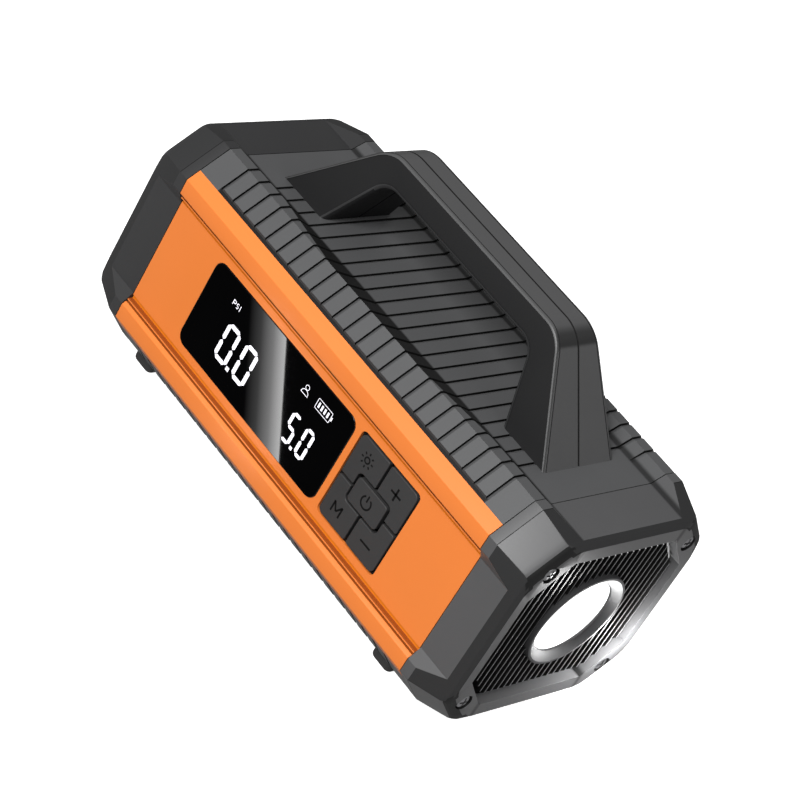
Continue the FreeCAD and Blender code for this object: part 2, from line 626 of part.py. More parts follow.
port_cap = other_end(cap_shell(PORT_FLOOR_X))
wall_x0, wall_x1 = -PORT_FLOOR_X - 0.1, -PORT_FLOOR_X + WALL + 0.1
port_holes = [along_outlet(4.9, wall_x0, wall_x1)]
for y0, y1, z0, z1 in (JUMP, USB_A, USB_C):
    port_holes.append(block(wall_x0, wall_x1, y0, y1, z0, z1))
for i in range(6):
    y = 12.0 + i * 3.8
    port_holes.append(block(wall_x0, wall_x1, y, y + 1.8, -20.0, 10.0))


def hinge_lugs(y0, y1, z):
    """Two ears on the port panel that hold a cover's hinge pin."""
    lugs = []
    for y in (y0 - 2.6, y1 + 0.2):
        ear = block(-PORT_FLOOR_X - 2.2, -PORT_FLOOR_X, y, y + 2.4, z - 1.6, z + 1.6)
        lugs.append(ear.cut(rod_y(PIN_R, y - 1, y + 4, COVER_PIN_X, z)))
    return lugs


def cover(y0, y1, z_pin, drop):
    """A flap hanging from its hinge barrel, with a finger lip at its lower edge."""
    x_out = -PORT_FLOOR_X - 2.3
    flap = rounded_block(x_out, -PORT_FLOOR_X - 0.3, y0, y1, z_pin - drop, z_pin - 1.4, 0.9, "x")
    barrel = rod_y(1.1, y0, y1, COVER_PIN_X, z_pin)
    bridge = block(-PORT_FLOOR_X - 2.0, -PORT_FLOOR_X - 0.5, y0, y1, z_pin - 2.0, z_pin)
    lip = block(x_out - 0.9, x_out, y0 + 6, y1 - 6, z_pin - drop + 0.8, z_pin - drop + 2.6)
    return flap.fuse([barrel, bridge, lip]).cut(rod_y(PIN_R + 0.06, y0 - 1, y1 + 1, COVER_PIN_X, z_pin))


cover_pins = []
for name, (y0, y1, z_pin, drop) in COVERS.items():
    port_cap = port_cap.fuse(hinge_lugs(y0, y1, z_pin))
    save(f"{name}_cover", cover(y0, y1, z_pin, drop))
    cover_pins.append(rod_y(PIN_R, y0 - 2.4, y1 + 2.4, COVER_PIN_X, z_pin))
save("cover_hinge_pins", *cover_pins)
save("port_end_cap", port_cap.cut(port_holes))

y0, y1, z0, z1 = JUMP
SOCKET_BACK = -74.0
SOCKET_FLOOR = -84.0
CONTACT_R = 2.6
BAR_T = 1.2
contact_ys = (y0 + 6.6, y1 - 6.6)
contact_z = (z0 + z1) / 2
socket = block(-PORT_FLOOR_X, SOCKET_BACK, y0, y1, z0, z1)
mouth = rounded_block(-PORT_FLOOR_X - 1, SOCKET_FLOOR, y0 + 1.6, y1 - 1.6, z0 + 1.6, z1 - 1.6, 2.0, "x")
contact_holes = [rod_x(CONTACT_R, SOCKET_FLOOR - 1, SOCKET_BACK + 1, y, contact_z) for y in contact_ys]
save("jump_socket", socket.cut([mouth] + contact_holes))
contacts = []
bars = []
for y in contact_ys:
    sleeve = rod_x(CONTACT_R, SOCKET_FLOOR, -70.0, y, contact_z)
    contacts.append(sleeve.cut(rod_x(2.0, SOCKET_FLOOR, -76.0, y, contact_z)))
    upright = block(-70.0, -68.6, y - 3, y + 3, contact_z - 3, BOARD_Z + 2.4 + BAR_T)
    level = block(-70.0, -24.0, y - 3, y + 3, BOARD_Z + 2.4, BOARD_Z + 2.4 + BAR_T)
    bars.append(upright.fuse(level))
save("jump_contacts", *contacts)
save("bus_bars", *bars)


def usb_socket(rect, depth, wall, tongue_at):
    """A folded steel shell open to the outside, with its plastic tongue."""
    y0, y1, z0, z1 = rect
    x0, x1 = -PORT_FLOOR_X, -PORT_FLOOR_X + depth
    shell = block(x0, x1, y0, y1, z0, z1)
    hole = block(x0, x1 - 0.6, y0 + wall, y1 - wall, z0 + wall, z1 - wall)
    z = z0 + (z1 - z0) * tongue_at
    tongue = block(x0 + 1.0, x1 - 0.6, y0 + 1.6, y1 - 1.6, z - 0.35, z + 0.35)
    return shell.cut(hole).fuse(tongue)


save("usb_a_socket", usb_socket(USB_A, 13.0, 0.5, 0.68))
save("usb_c_socket", usb_socket(USB_C, 8.0, 0.4, 0.5))
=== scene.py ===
import json
import math

import bmesh
import bpy
import numpy as np
from mathutils import Matrix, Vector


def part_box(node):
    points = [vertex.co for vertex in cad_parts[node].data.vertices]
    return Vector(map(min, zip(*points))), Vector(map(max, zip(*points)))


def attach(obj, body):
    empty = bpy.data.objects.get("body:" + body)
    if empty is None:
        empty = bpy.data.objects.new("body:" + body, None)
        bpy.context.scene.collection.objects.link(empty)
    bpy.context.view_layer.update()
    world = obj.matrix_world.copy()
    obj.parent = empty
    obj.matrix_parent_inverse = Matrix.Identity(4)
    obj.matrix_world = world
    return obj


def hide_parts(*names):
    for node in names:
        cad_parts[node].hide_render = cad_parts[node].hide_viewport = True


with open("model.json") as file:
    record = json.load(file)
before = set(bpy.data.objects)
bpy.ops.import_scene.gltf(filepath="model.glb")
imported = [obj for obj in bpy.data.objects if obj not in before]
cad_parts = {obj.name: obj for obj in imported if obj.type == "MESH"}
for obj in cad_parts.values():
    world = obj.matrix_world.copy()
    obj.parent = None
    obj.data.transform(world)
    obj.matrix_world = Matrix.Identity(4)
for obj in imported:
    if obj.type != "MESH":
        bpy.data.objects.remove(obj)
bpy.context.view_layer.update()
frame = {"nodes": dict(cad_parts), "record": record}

# ---------------- camera
# A long lens looks down on the pack from the lamp end of the display side,
# and is rolled so that the pack seems to stand on one corner.
CAMERA_AT = (0.39613, -0.63704, 0.50868)
AZIMUTH, ELEVATION, ROLL = 31.73, 31.56, 31.55
turn = Matrix.Rotation(math.radians(AZIMUTH), 4, "Z") @ Matrix.Rotation(math.radians(90 - ELEVATION), 4, "X")
camera = bpy.data.objects.new("camera", bpy.data.cameras.new("camera"))
camera.data.lens = 121.38
camera.data.sensor_width = 36.0
camera.data.clip_start = 0.01
camera.matrix_world = Matrix.Translation(CAMERA_AT) @ turn @ Matrix.Rotation(math.radians(ROLL), 4, "Z")
bpy.context.collection.objects.link(camera)
bpy.context.scene.camera = camera
bpy.context.scene.view_settings.view_transform = "Standard"

# ---------------- studio
# A white paper floor and an even white room, with one large soft box over the
# display side. A dark card with a pale wedge hangs where the display mirrors it.
FLOOR_HALF = 4.0
ROOM = 0.2


def fill(node, values):
    """Sets a node's sockets, by name, to constant values."""
    for socket, value in values.items():
        node.inputs[socket].default_value = value


def made(mat, kind, values=(), **settings):
    """A new node in a material, with constant sockets and with settings."""
    node = mat.node_tree.nodes.new("ShaderNode" + kind)
    for setting, value in settings.items():
        setattr(node, setting, value)
    fill(node, dict(values))
    return node


def wire(source, output, target, socket):
    """Carries the output of one node to a socket of another."""
    source.id_data.links.new(source.outputs[output], target.inputs[socket])


def plain_emitter(name, strength):
    """A surface that gives off even white light, mixed with a matt white."""
    mat = bpy.data.materials.new(name)
    mat.use_nodes = True
    fill(mat.node_tree.nodes["Principled BSDF"], {
        "Base Color": (0.8, 0.8, 0.8, 1), "Roughness": 0.9, "Specular IOR Level": 0.1,
        "Emission Color": (1, 1, 1, 1), "Emission Strength": strength,
    })
    return mat


def flat_card(name, corners, mat):
    """A single face that belongs to the studio."""
    mesh = bpy.data.meshes.new(name)
    mesh.from_pydata([tuple(c) for c in corners], [], [(0, 1, 2, 3)])
    mesh.materials.append(mat)
    card = bpy.data.objects.new(name, mesh)
    bpy.context.collection.objects.link(card)
    return card


floor_corners = [(x * FLOOR_HALF, y * FLOOR_HALF, 0) for x, y in ((-1, -1), (1, -1), (1, 1), (-1, 1))]
floor = flat_card("floor", floor_corners, plain_emitter("paper", 0.93))
floor.visible_diffuse = False
floor.visible_glossy = False

world = bpy.data.worlds.new("room")
world.use_nodes = True
fill(world.node_tree.nodes["Background"], {"Color": (1, 1, 1, 1), "Strength": ROOM})
bpy.context.scene.world = world


def soft_box(name, place, aim, size, power):
    """A square area light at a place, turned to face a point."""
    light = bpy.data.lights.new(name, "AREA")
    light.size = size
    light.energy = power
    lamp = bpy.data.objects.new(name, light)
    away = np.subtract(place, aim)
    pitch = math.atan2(math.hypot(away[0], away[1]), away[2])
    heading = math.atan2(away[1], away[0]) + math.pi / 2
    lamp.matrix_world = (
        Matrix.Translation(place) @ Matrix.Rotation(heading, 4, "Z") @ Matrix.Rotation(pitch, 4, "X")
    )
    bpy.context.collection.objects.link(lamp)


soft_box("key_light", (0.15, -1.1, 1.05), (0, 0, 0.05), 0.7, 24.0)
soft_box("fill_light", (1.2, 0.1, 0.9), (0, 0, 0.05), 0.9, 3.5)
under_corners = [(x, y, -0.002) for x, y, _ in floor_corners]
under_glow = flat_card("under_glow", under_corners, plain_emitter("under_glow", 0.3))
under_glow.visible_camera = False
under_glow.visible_diffuse = False


def grey_ramp(mat, value, start, end, stops, interpolation="LINEAR"):
    """Follows a value from start to end with a grey that passes through the stops,
    pairs of a share of the way and a level. The value and the ramp are nodes."""
    span = made(mat, "MapRange", {"From Min": start, "From Max": end})
    ramp = made(mat, "ValToRGB")
    ramp.color_ramp.interpolation = interpolation
    elements = ramp.color_ramp.elements
    for position, _ in stops[1:-1]:
        elements.new(position)
    for stop, (position, level) in zip(elements, stops):
        stop.position = position
        stop.color = (level, level, level, 1)
    wire(value, "Value", span, "Value")
    wire(span, "Result", ramp, "Fac")
    return ramp


CARD_FROM, CARD_TO = (-0.0402, 0.0406), (-0.0172, 0.0038)
CARD_Y = -0.0734
CARD_X, CARD_Z = (-0.090, 0.012), (0.001, 0.046)
CARD_FADE = ((0.097, 0.0), (0.103, 1.0), (0.4, 0.38), (0.7, 0.09), (1.0, 0.0))


def mirror_card():
    """A dark card seen only in reflections. Its glow is brightest along a slanting
    edge, fades out to one side of it and is cut off on the other."""
    mat = bpy.data.materials.new("card_glow")
    mat.use_nodes = True
    mat.node_tree.nodes.clear()
    run, rise = CARD_TO[0] - CARD_FROM[0], CARD_TO[1] - CARD_FROM[1]
    length = math.hypot(run, rise)
    across = (rise / length, -run / length)
    dot = made(mat, "VectorMath", operation="DOT_PRODUCT")
    fill(dot, {1: (across[0], 0, across[1])})
    wire(made(mat, "TexCoord"), "Object", dot, 0)
    start = CARD_FROM[0] * across[0] + CARD_FROM[1] * across[1]
    glow = made(mat, "Emission", {"Strength": 9.0})
    wire(grey_ramp(mat, dot, start - 0.002, start + 0.018, CARD_FADE), "Color", glow, "Color")
    wire(glow, "Emission", made(mat, "OutputMaterial"), "Surface")
    corners = [(CARD_X[i], CARD_Y, CARD_Z[j]) for i, j in ((0, 0), (1, 0), (1, 1), (0, 1))]
    card = flat_card("mirror_card", corners, mat)
    for ray in ("camera", "diffuse", "transmission", "shadow"):
        setattr(card, f"visible_{ray}", False)


mirror_card()

# ---------------- ribbed shells
# The top and bottom shells are moulded in black nylon-filled plastic. Rows of
# raised blocks run over the chamfer and rails, and a plain edge borders the panel.
MM = 0.001
low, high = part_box("display_side_panel")
MID_Z = (low[2] + high[2]) / 2
SEAM_X = high[0] / MM
HALF_W, SIDE_H = 46.2, 29.6
STRIP_H, PANEL_W, PANEL_H = 24.0, 43.3, 19.7
CREST_Y, CREST_H = 33.9, 41.8
RAIL_Y, PLATE_Y, PLATE_H = 29.4, 24.4, 38.7
SPLIT_Y, SPLIT_H = 42.5, 33.3
SKIN_W = 40.7
RIB_PITCH, RIB_COUNT = 6.2, 23
RIB_DEPTH, GROOVE_HALF = 1.1, 0.22
BLOCK_LIP, BLOCK_RAMP = 0.42, 0.9
MARGIN, MARGIN_RAMP = 1.35, 0.45
SLATS_END = 70.0
WELL_WIDE, WELL_TIP = 25.0, 56.0
SHELL_WALL = 2.6


def moulded(name, colour, roughness, grain=0.3, height=0.012, cloud=0.08, shine=0.5):
    """Moulded plastic: a fine eroded grain raises the surface and shifts its roughness
    a little, and broad soft clouds shift its colour a little. Grain size is in mm, and a
    colour given as one number is a neutral grey."""
    colour = np.broadcast_to(colour, 3).tolist()
    mat = bpy.data.materials.new(name)
    mat.use_nodes = True
    shader = mat.node_tree.nodes["Principled BSDF"]
    fill(shader, {"Specular IOR Level": shine})
    place = made(mat, "TexCoord")
    fine = made(mat, "TexNoise", {"Scale": 1 / (grain * MM), "Detail": 3.0})
    broad = made(mat, "TexNoise", {"Scale": 45.0, "Detail": 4.0})
    wire(place, "Object", fine, "Vector")
    wire(place, "Object", broad, "Vector")
    tint = made(mat, "Mix", data_type="RGBA")
    pale = tuple(min(1.0, c * (1 + cloud)) for c in colour) + (1,)
    fill(tint, {"A": tuple(c * (1 - cloud) for c in colour) + (1,), "B": pale})
    wire(broad, "Fac", tint, "Factor")
    wire(tint, "Result", shader, "Base Color")
    spread = made(mat, "MapRange", {"To Min": roughness * 0.85, "To Max": roughness * 1.15})
    wire(fine, "Fac", spread, "Value")
    wire(spread, "Result", shader, "Roughness")
    bump = made(mat, "Bump", {"Strength": 0.5, "Distance": height * MM})
    wire(fine, "Fac", bump, "Height")
    wire(bump, "Normal", shader, "Normal")
    return mat


def darkened(mat, source, stops):
    """Multiplies a material's colour by a smooth ramp. Its source makes the node
    that is followed, and stops are pairs of a value and the share of light kept."""
    shader = mat.node_tree.nodes["Principled BSDF"]
    colour = shader.inputs["Base Color"].links[0].from_node
    start, end = stops[0][0], stops[-1][0]
    shares = [((value - start) / (end - start), share) for value, share in stops]
    product = made(mat, "Mix", data_type="RGBA", blend_type="MULTIPLY")
    fill(product, {"Factor": 1.0})
    wire(colour, "Result", product, "A")
    wire(grey_ramp(mat, source(mat), start, end, shares, "EASE"), "Color", product, "B")
    wire(product, "Result", shader, "Base Color")


def size_of(mat, kind, output, axis):
    """A node for the size, without its sign, of one part of a node's vector."""
    split, size = made(mat, "SeparateXYZ"), made(mat, "Math", operation="ABSOLUTE")
    wire(made(mat, kind), output, split, "Vector")
    wire(split, axis, size, 0)
    return size


def distance_from_middle(mat):
    """How far a point lies from the body's middle plane, measured along Y."""
    return size_of(mat, "TexCoord", "Object", "Y")


def sheet(grid, wrap_rows=False, wrap_cols=False, crossed=None):
    """Points on a rows by columns grid, with a face between each four neighbours.
    Cells named in crossed are cut in two from their low corner to their high one."""
    rows, cols = grid.shape[:2]
    index = np.arange(rows * cols).reshape(rows, cols)
    if wrap_rows:
        index = np.vstack([index, index[:1]])
    if wrap_cols:
        index = np.hstack([index, index[:, :1]])
    quads = np.stack([index[:-1, :-1], index[:-1, 1:], index[1:, 1:], index[1:, :-1]], axis=-1)
    if crossed is None:
        faces = quads.reshape(-1, 4).tolist()
    else:
        faces = quads[~crossed].tolist()
        faces += quads[crossed][:, [0, 1, 2]].tolist()
        faces += quads[crossed][:, [0, 2, 3]].tolist()
    return grid.reshape(-1, 3), faces


def lid(loop):
    """One flat face over a closed loop of points."""
    return np.asarray(loop, float), [list(range(len(loop)))]


def mirrored(forms, axis):
    """The forms together with their reflections across one axis."""
    flip = np.ones(3)
    flip[axis] = -1
    return forms + [(points * flip, [face[::-1] for face in faces]) for points, faces in forms]


def scaled(forms, x=1, y=1, z=1):
    """The forms stretched or reflected along the axes."""
    return [(points * (x, y, z), faces) for points, faces in forms]


def piece_of(name, forms, materials, body="case", node=None, cuts=None, paint=None,
             ease=0, steps=2, limit=28, crisp=14):
    """Joins forms drawn in mm about the body's centre into one mesh, cuts forms out
    of it, paints its faces, and rounds edges sharper than limit. It replaces node."""
    points = np.vstack([form[0] for form in forms]) * MM + (0, 0, MID_Z)
    faces, start = [], 0
    for form_points, form_faces in forms:
        faces += [[start + i for i in face] for face in form_faces]
        start += len(form_points)
    mesh = bpy.data.meshes.new(name)
    mesh.from_pydata(points.tolist(), [], faces)
    for mat in materials:
        mesh.materials.append(mat)
    tidy_mesh(mesh, crisp)
    piece = bpy.data.objects.new(name, mesh)
    bpy.context.collection.objects.link(piece)
    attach(piece, body)
    if cuts:
        carve(piece, cuts)
    if paint:
        paint_faces(piece, paint)
    if ease:
        eased(piece, ease, steps, limit)
    if node:
        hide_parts(node)
    return piece


def tidy_mesh(mesh, crisp):
    """Merges doubles, drops empty faces, turns faces outwards and shades smooth
    up to an angle in degrees."""
    work = bmesh.new()
    work.from_mesh(mesh)
    bmesh.ops.remove_doubles(work, verts=work.verts, dist=2e-6)
    bmesh.ops.dissolve_degenerate(work, edges=work.edges, dist=1e-6)
    bmesh.ops.recalc_face_normals(work, faces=work.faces)
    work.to_mesh(mesh)
    work.free()
    mesh.shade_smooth()
    mesh.set_sharp_from_angle(angle=math.radians(crisp))


def eased(piece, width, steps=2, limit=28):
    """Rounds the sharp edges by a width in mm, and keeps the flat faces flat."""
    bevel = piece.modifiers.new("ease", "BEVEL")
    bevel.width = width * MM
    bevel.segments = steps
    bevel.limit_method = "ANGLE"
    bevel.angle_limit = math.radians(limit)
    bevel.harden_normals = True


def paint_faces(piece, chooser):
    """Gives each face the material number that the chooser works out from the
    faces' normals and centres, in mm about the body's centre."""
    mesh = piece.data
    normals = np.array([p.normal for p in mesh.polygons])
    centres = np.array([p.center for p in mesh.polygons]) / MM - (0, 0, MID_Z / MM)
    mesh.polygons.foreach_set("material_index", chooser(normals, centres).astype(np.int32))


def shell_half():
    """Half of the ribbed shell: a section of chamfer, rail, slope and plate runs
    along X, and is sunk by the larger of the groove profile and the margin profile."""
    centres = RIB_PITCH * (np.arange(RIB_COUNT + 1) - RIB_COUNT / 2)
    offsets = np.array([-GROOVE_HALF, -GROOVE_HALF, GROOVE_HALF, GROOVE_HALF, GROOVE_HALF + BLOCK_RAMP])
    xs = (centres[:, None] + offsets).ravel()
    groove = np.tile([0.0, 1.0, 1.0, BLOCK_LIP, 0.0], RIB_COUNT + 1)
    kinks = np.array([-WELL_TIP, -WELL_WIDE, WELL_WIDE, WELL_TIP])
    groove = np.concatenate([[0.0], groove, [0.0], np.interp(kinks, xs, groove)])
    xs = np.concatenate([[-SEAM_X], xs, [SEAM_X], kinks])
    order = np.argsort(xs, kind="stable")
    xs, groove = xs[order], groove[order]
    ribbed = (xs >= centres[0] - GROOVE_HALF) & (xs <= centres[-1] + GROOVE_HALF + 0.01)
    ribbed[np.argmax(ribbed)] = False
    rail = np.interp(np.abs(xs), [WELL_WIDE, WELL_TIP], [CREST_Y, RAIL_Y])
    length = math.hypot(SPLIT_Y - CREST_Y, CREST_H - SPLIT_H)
    along = np.array([0.0, MARGIN, MARGIN + MARGIN_RAMP, length]) / length
    one = np.ones_like(xs)
    ys = [SPLIT_Y + (CREST_Y - SPLIT_Y) * a * one for a in along] + [rail, PLATE_Y * one, 0 * one]
    zs = [SPLIT_H + (CREST_H - SPLIT_H) * a * one for a in along]
    zs += [CREST_H * one, PLATE_H * one, PLATE_H * one]
    section = np.stack([np.array(ys), np.array(zs)], axis=-1)
    margin = np.array([1.0, 1.0, 0.0, 0.0, 0.0, 0.0, 0.0])
    sunk = np.maximum(groove[None, :], margin[:, None] * ribbed[None, :])
    sunk[-2:] *= np.abs(xs) < SLATS_END
    chamfer = np.tile([math.sqrt(0.5), math.sqrt(0.5)], (len(xs), 1))
    level = np.tile([0.0, 1.0], (len(xs), 1))
    slope = np.stack([-(CREST_H - PLATE_H) * one, rail - PLATE_Y], axis=-1)
    slope /= np.linalg.norm(slope, axis=1, keepdims=True)
    before = [chamfer, chamfer, chamfer, chamfer, level, slope, level]
    after = [chamfer, chamfer, chamfer, level, slope, level, level]
    mitre = np.stack([(a + b) / (1 + (a * b).sum(axis=1, keepdims=True)) for a, b in zip(before, after)])
    mitre[-1] = (0, 1)
    xs_grid = np.tile(xs, (7, 1))[..., None]
    outer = np.concatenate([xs_grid, section - RIB_DEPTH * sunk[..., None] * mitre], axis=-1)
    inner = np.concatenate([xs_grid, section - SHELL_WALL * mitre], axis=-1)
    cells = np.zeros((6, len(xs) - 1), bool)
    cells[1] = (groove[:-1] > 0.2) & (groove[1:] < 0.2) & (np.diff(xs) > 0.1)
    rim = np.stack([outer[0], inner[0]])
    ends = [np.stack([outer[:, end], inner[:, end]]) for end in (0, -1)]
    return [sheet(outer, crossed=cells), sheet(inner), sheet(rim)] + [sheet(end) for end in ends]


shell_black = moulded("shell_black", (0.088, 0.089, 0.091), 0.46, grain=0.35, height=0.02)
# A near-black painted shade for the shells' faces that lie in shade.
shell_painted_shade = moulded("shell_painted_shade", 0.006, 0.6, grain=0.35, height=0.02, shine=0.3)
# A painted shade band darkens the shell's black along the foot of each rail's inner slope, on both sides.
VALLEY_SHADE = ((-1.0, 1.0), (0.3, 0.15), (0.8, 0.15), (2.2, 1.0))
VALLEY = [((PLATE_Y + offset) * MM, share) for offset, share in VALLEY_SHADE]
darkened(shell_black, distance_from_middle, VALLEY)
shell_form = mirrored(shell_half(), 1)


def in_shade(normals, centres):
    """Faces with a near-black painted shade: the rail's inner slope on the display side,
    the narrow grooves between the blocks and the slats, and the step at the foot of each block."""
    x, y = np.abs(centres[:, 0]), np.abs(centres[:, 1])
    between = (centres[:, 1] > -CREST_Y - 0.5) & (centres[:, 1] < -PLATE_Y + 0.3)
    slope = between & (normals[:, 1] > 0.25)
    ribbed = x < RIB_PITCH * RIB_COUNT / 2 + GROOVE_HALF + 0.1
    off = (centres[:, 0] / RIB_PITCH + RIB_COUNT / 2 + 0.5) % 1.0 - 0.5
    groove = (np.abs(off) * RIB_PITCH < GROOVE_HALF + 0.02) & (y < 41.5) & ((y > PLATE_Y) | (x < SLATS_END))
    step = (y > 41.15) & (y < 41.5)
    return slope | (ribbed & (groove | step))


for name, node, forms in (
    ("ribbed_top_shell", "top_shell", shell_form),
    ("ribbed_bottom_shell", "bottom_shell", scaled(shell_form, z=-1)),
):
    piece_of(name, forms, [shell_black, shell_painted_shade], node=node, paint=in_shade, ease=0.12)

# ---------------- side panels
# Each coloured side is one moulding with a bright chamfer strip, an upright strip
# and a flat panel framed by a sunk channel. The display side has two windows.
DISPLAY = (-57.0, 20.9, -17.45, 17.45)
KEYPAD = (23.45, 53.9, -17.5, 17.5)
CELL_SPLIT_X = 22.17
ARC_STEPS = 9


def rounded(corners, radii, steps=ARC_STEPS, closed=True):
    """A path with each corner replaced by an arc-like curve: the quadratic curve
    from radius before the corner to radius after it, pulled towards the corner."""
    corners = np.asarray(corners, float)
    radii = np.broadcast_to(radii, len(corners))
    t = np.linspace(0, 1, steps + 1)[:, None]
    path = []
    for i, corner in enumerate(corners):
        if not closed and i in (0, len(corners) - 1):
            path.append(corner[None])
            continue
        back = corners[i - 1] - corner
        ahead = corners[(i + 1) % len(corners)] - corner
        back_len, ahead_len = np.linalg.norm(back), np.linalg.norm(ahead)
        sin_half = math.sqrt((1 - back @ ahead / back_len / ahead_len) / 2)
        cos_half = math.sqrt(max(0.0, 1 - sin_half * sin_half))
        run = min(radii[i] * cos_half / sin_half, 0.49 * back_len, 0.49 * ahead_len)
        if run < 1e-4:
            path.append(corner[None])
            continue
        start = corner + back / back_len * run
        end = corner + ahead / ahead_len * run
        pull = 2 * sin_half * t * (1 - t)
        path.append(((1 - t) ** 2 * start + pull * corner + t ** 2 * end) / ((1 - t) ** 2 + pull + t ** 2))
    return np.vstack(path)


def on_plane(outline, y):
    """An (x, z) outline put at one depth."""
    outline = np.asarray(outline, float)
    return np.stack([outline[:, 0], np.full(len(outline), float(y)), outline[:, 1]], axis=-1)


def box_corners(rect):
    """The four corners of (low, high, low, high)."""
    x0, x1, z0, z1 = rect
    return [(x0, z0), (x1, z0), (x1, z1), (x0, z1)]


half_profile = rounded([
    (SPLIT_Y, SPLIT_H), (HALF_W, SIDE_H), (HALF_W, STRIP_H), (45.0, 22.95), (43.7, 22.85), (43.7, 22.45),
    (44.7, 22.35), (44.7, 21.85), (44.3, 21.7), (42.85, 21.6), (42.85, 20.35), (PANEL_W, 20.2),
], [0, 0.35, 0.3, 0.12, 0.05, 0.05, 0.1, 0.1, 0.05, 0.1, 0.1, 0.1], steps=3, closed=False)


def side_panel(windows):
    """The side profile carried along X, with a flat skin behind it. Round each
    window the flat panel is a ring from the window's edge to its half of the panel."""
    profile = np.vstack([half_profile, half_profile[::-1] * (1, -1)])
    flat = len(half_profile) - 1
    xs = np.array([-SEAM_X, CELL_SPLIT_X, SEAM_X])
    outer = np.zeros((len(profile), len(xs), 3))
    outer[..., 0] = xs
    outer[..., 1] = -profile[:, :1]
    outer[..., 2] = profile[:, 1:]
    inner = outer.copy()
    inner[..., 1] = -SKIN_W
    inner[..., 2] = np.clip(outer[..., 2], 31.4 - 62.8, 31.4)
    forms = []
    for skin in (outer, inner):
        if windows:
            forms += [sheet(skin[:flat + 1]), sheet(skin[flat + 1:])]
        else:
            forms.append(sheet(skin))
    edges = [np.stack([outer[0], inner[0]]), np.stack([outer[-1], inner[-1]])]
    edges += [np.stack([outer[:, 0], inner[:, 0]]), np.stack([outer[:, -1], inner[:, -1]])]
    forms += [sheet(edge) for edge in edges]
    reach_z = profile[flat, 1]
    for (rect, radius), (x0, x1) in zip(windows, ((-SEAM_X, CELL_SPLIT_X), (CELL_SPLIT_X, SEAM_X))):
        edge = rounded(box_corners(rect), radius)
        frame_loop = np.repeat(box_corners((x0, x1, -reach_z, reach_z)), ARC_STEPS + 1, axis=0)
        for y in (-PANEL_W, -SKIN_W):
            forms.append(sheet(np.stack([on_plane(edge, y), on_plane(frame_loop, y)]), wrap_cols=True))
        forms.append(sheet(np.stack([on_plane(edge, -PANEL_W), on_plane(edge, -SKIN_W)]), wrap_cols=True))
    return forms


def in_channel(normals, centres):
    """The channel's floor and walls are 1, a darker painted shade, and the fine groove beside it is 2, a
    dark painted shade line.
    """
    y, z = np.abs(centres[:, 1]), np.abs(centres[:, 2])
    outside = y > SKIN_W + 0.5
    channel = outside & (y < PANEL_W - 0.05) & (z > 20.1) & (z < 21.8)
    wall = outside & (z > 21.55) & (z < 21.86) & (y < 44.6)
    groove = outside & (z > 22.3) & (z < 22.97) & (y < 44.9)
    return np.select([groove | wall, channel], [2, 1], 0)


panel_orange = moulded("panel_orange", (0.93, 0.245, 0.042), 0.42, grain=0.4, height=0.012, cloud=0.03)
# Darker oranges paint shade into the sunk channel and the fine groove beside it.
panel_channel_shade = moulded("panel_channel_shade", (0.85, 0.22, 0.006), 0.45, grain=0.4, height=0.012, cloud=0.03)
panel_groove_shade = moulded("panel_groove_shade", (0.33, 0.07, 0.003), 0.6, grain=0.4, height=0.012, cloud=0.03)
oranges = [panel_orange, panel_channel_shade, panel_groove_shade]
for name, node, forms in (
    ("orange_display_panel", "display_side_panel", side_panel([(DISPLAY, 4.0), (KEYPAD, 1.9)])),
    ("orange_back_panel", "back_side_panel", scaled(side_panel([]), y=-1)),
):
    piece_of(name, forms, oranges, node=node, paint=in_channel, ease=0.18, limit=60)

# ---------------- end caps
# One black cap closes each end: straight at the seam, tapered from a fine crease,
# rolled over at its corners into a flat rim. Four screws sit in round recesses.
CREASE_X, SHOULDER_X, HALF_LEN = 85.7, 98.7, 100.0
SHOULDER_IN, RIM_IN = 3.9, 5.2
TOP_SHOULDER_IN, TOP_RIM_IN = 3.5, 5.2
SEAM_GAP, CREASE_HALF = 0.28, 0.13
ROLL_X = (CREASE_X, 97.0, 98.6, 99.5, HALF_LEN)
ROLL_R = (0.0, 0.5, 2.2, 3.6, 4.6)
ROLL_STEPS = 4
CORNER_X = (CREASE_X, 97.0, 97.9, 98.6, 99.1, 99.5, 99.8, HALF_LEN)
CORNER_IN = (0.0, 3.85, 4.3, 4.95, 5.75, 6.75, 7.75, 8.9)
POCKET_SIDE, POCKET_SIDE_H, POCKET_TOP_Y, POCKET_TOP = 37.0, 18.0, 24.6, 31.4
CAP_FLOOR_X, PORT_FLOOR_X = 92.0, 96.0
CHAMFER_SUM = HALF_W + SIDE_H
SCREW_Y, SCREW_Z = 33.6, 28.1
RECESS_R, HEAD_SEAT_X = 3.1, 96.0
LAMP_HOLE_R, PORT_HOLE_R = 14.2, 0.5


def whole_loop(quarter, x):
    """A quarter outline, from the top to the side, mirrored into a closed loop at x."""
    quarter = np.asarray(quarter, float)
    right = np.vstack([quarter, quarter[::-1] * (1, -1)])
    loop = np.vstack([right, -right])
    return np.column_stack([np.full(len(loop), float(x)), loop])


def spread_corners(corners, roll):
    """The third and fourth corner of a quarter become short curves of a given
    reach, as rows of points that stay the same in number when the reach is none."""
    corners = np.asarray(corners, float)
    t = np.linspace(0, 1, ROLL_STEPS + 1)[:, None]
    parts = [corners[:2]]
    for i in (2, 3):
        reach = min(roll, 0.45 * np.linalg.norm(corners[3] - corners[2]))
        sides = [corners[j] - corners[i] for j in (i - 1, i + 1)]
        lengths = [np.linalg.norm(side) for side in sides]
        start, end = (
            corners[i] + side / max(length, 1e-6) * min(reach, length)
            for side, length in zip(sides, lengths)
        )
        parts.append((1 - t) ** 2 * start + 2 * t * (1 - t) * corners[i] + t ** 2 * end)
    return np.vstack(parts + [corners[4:]])


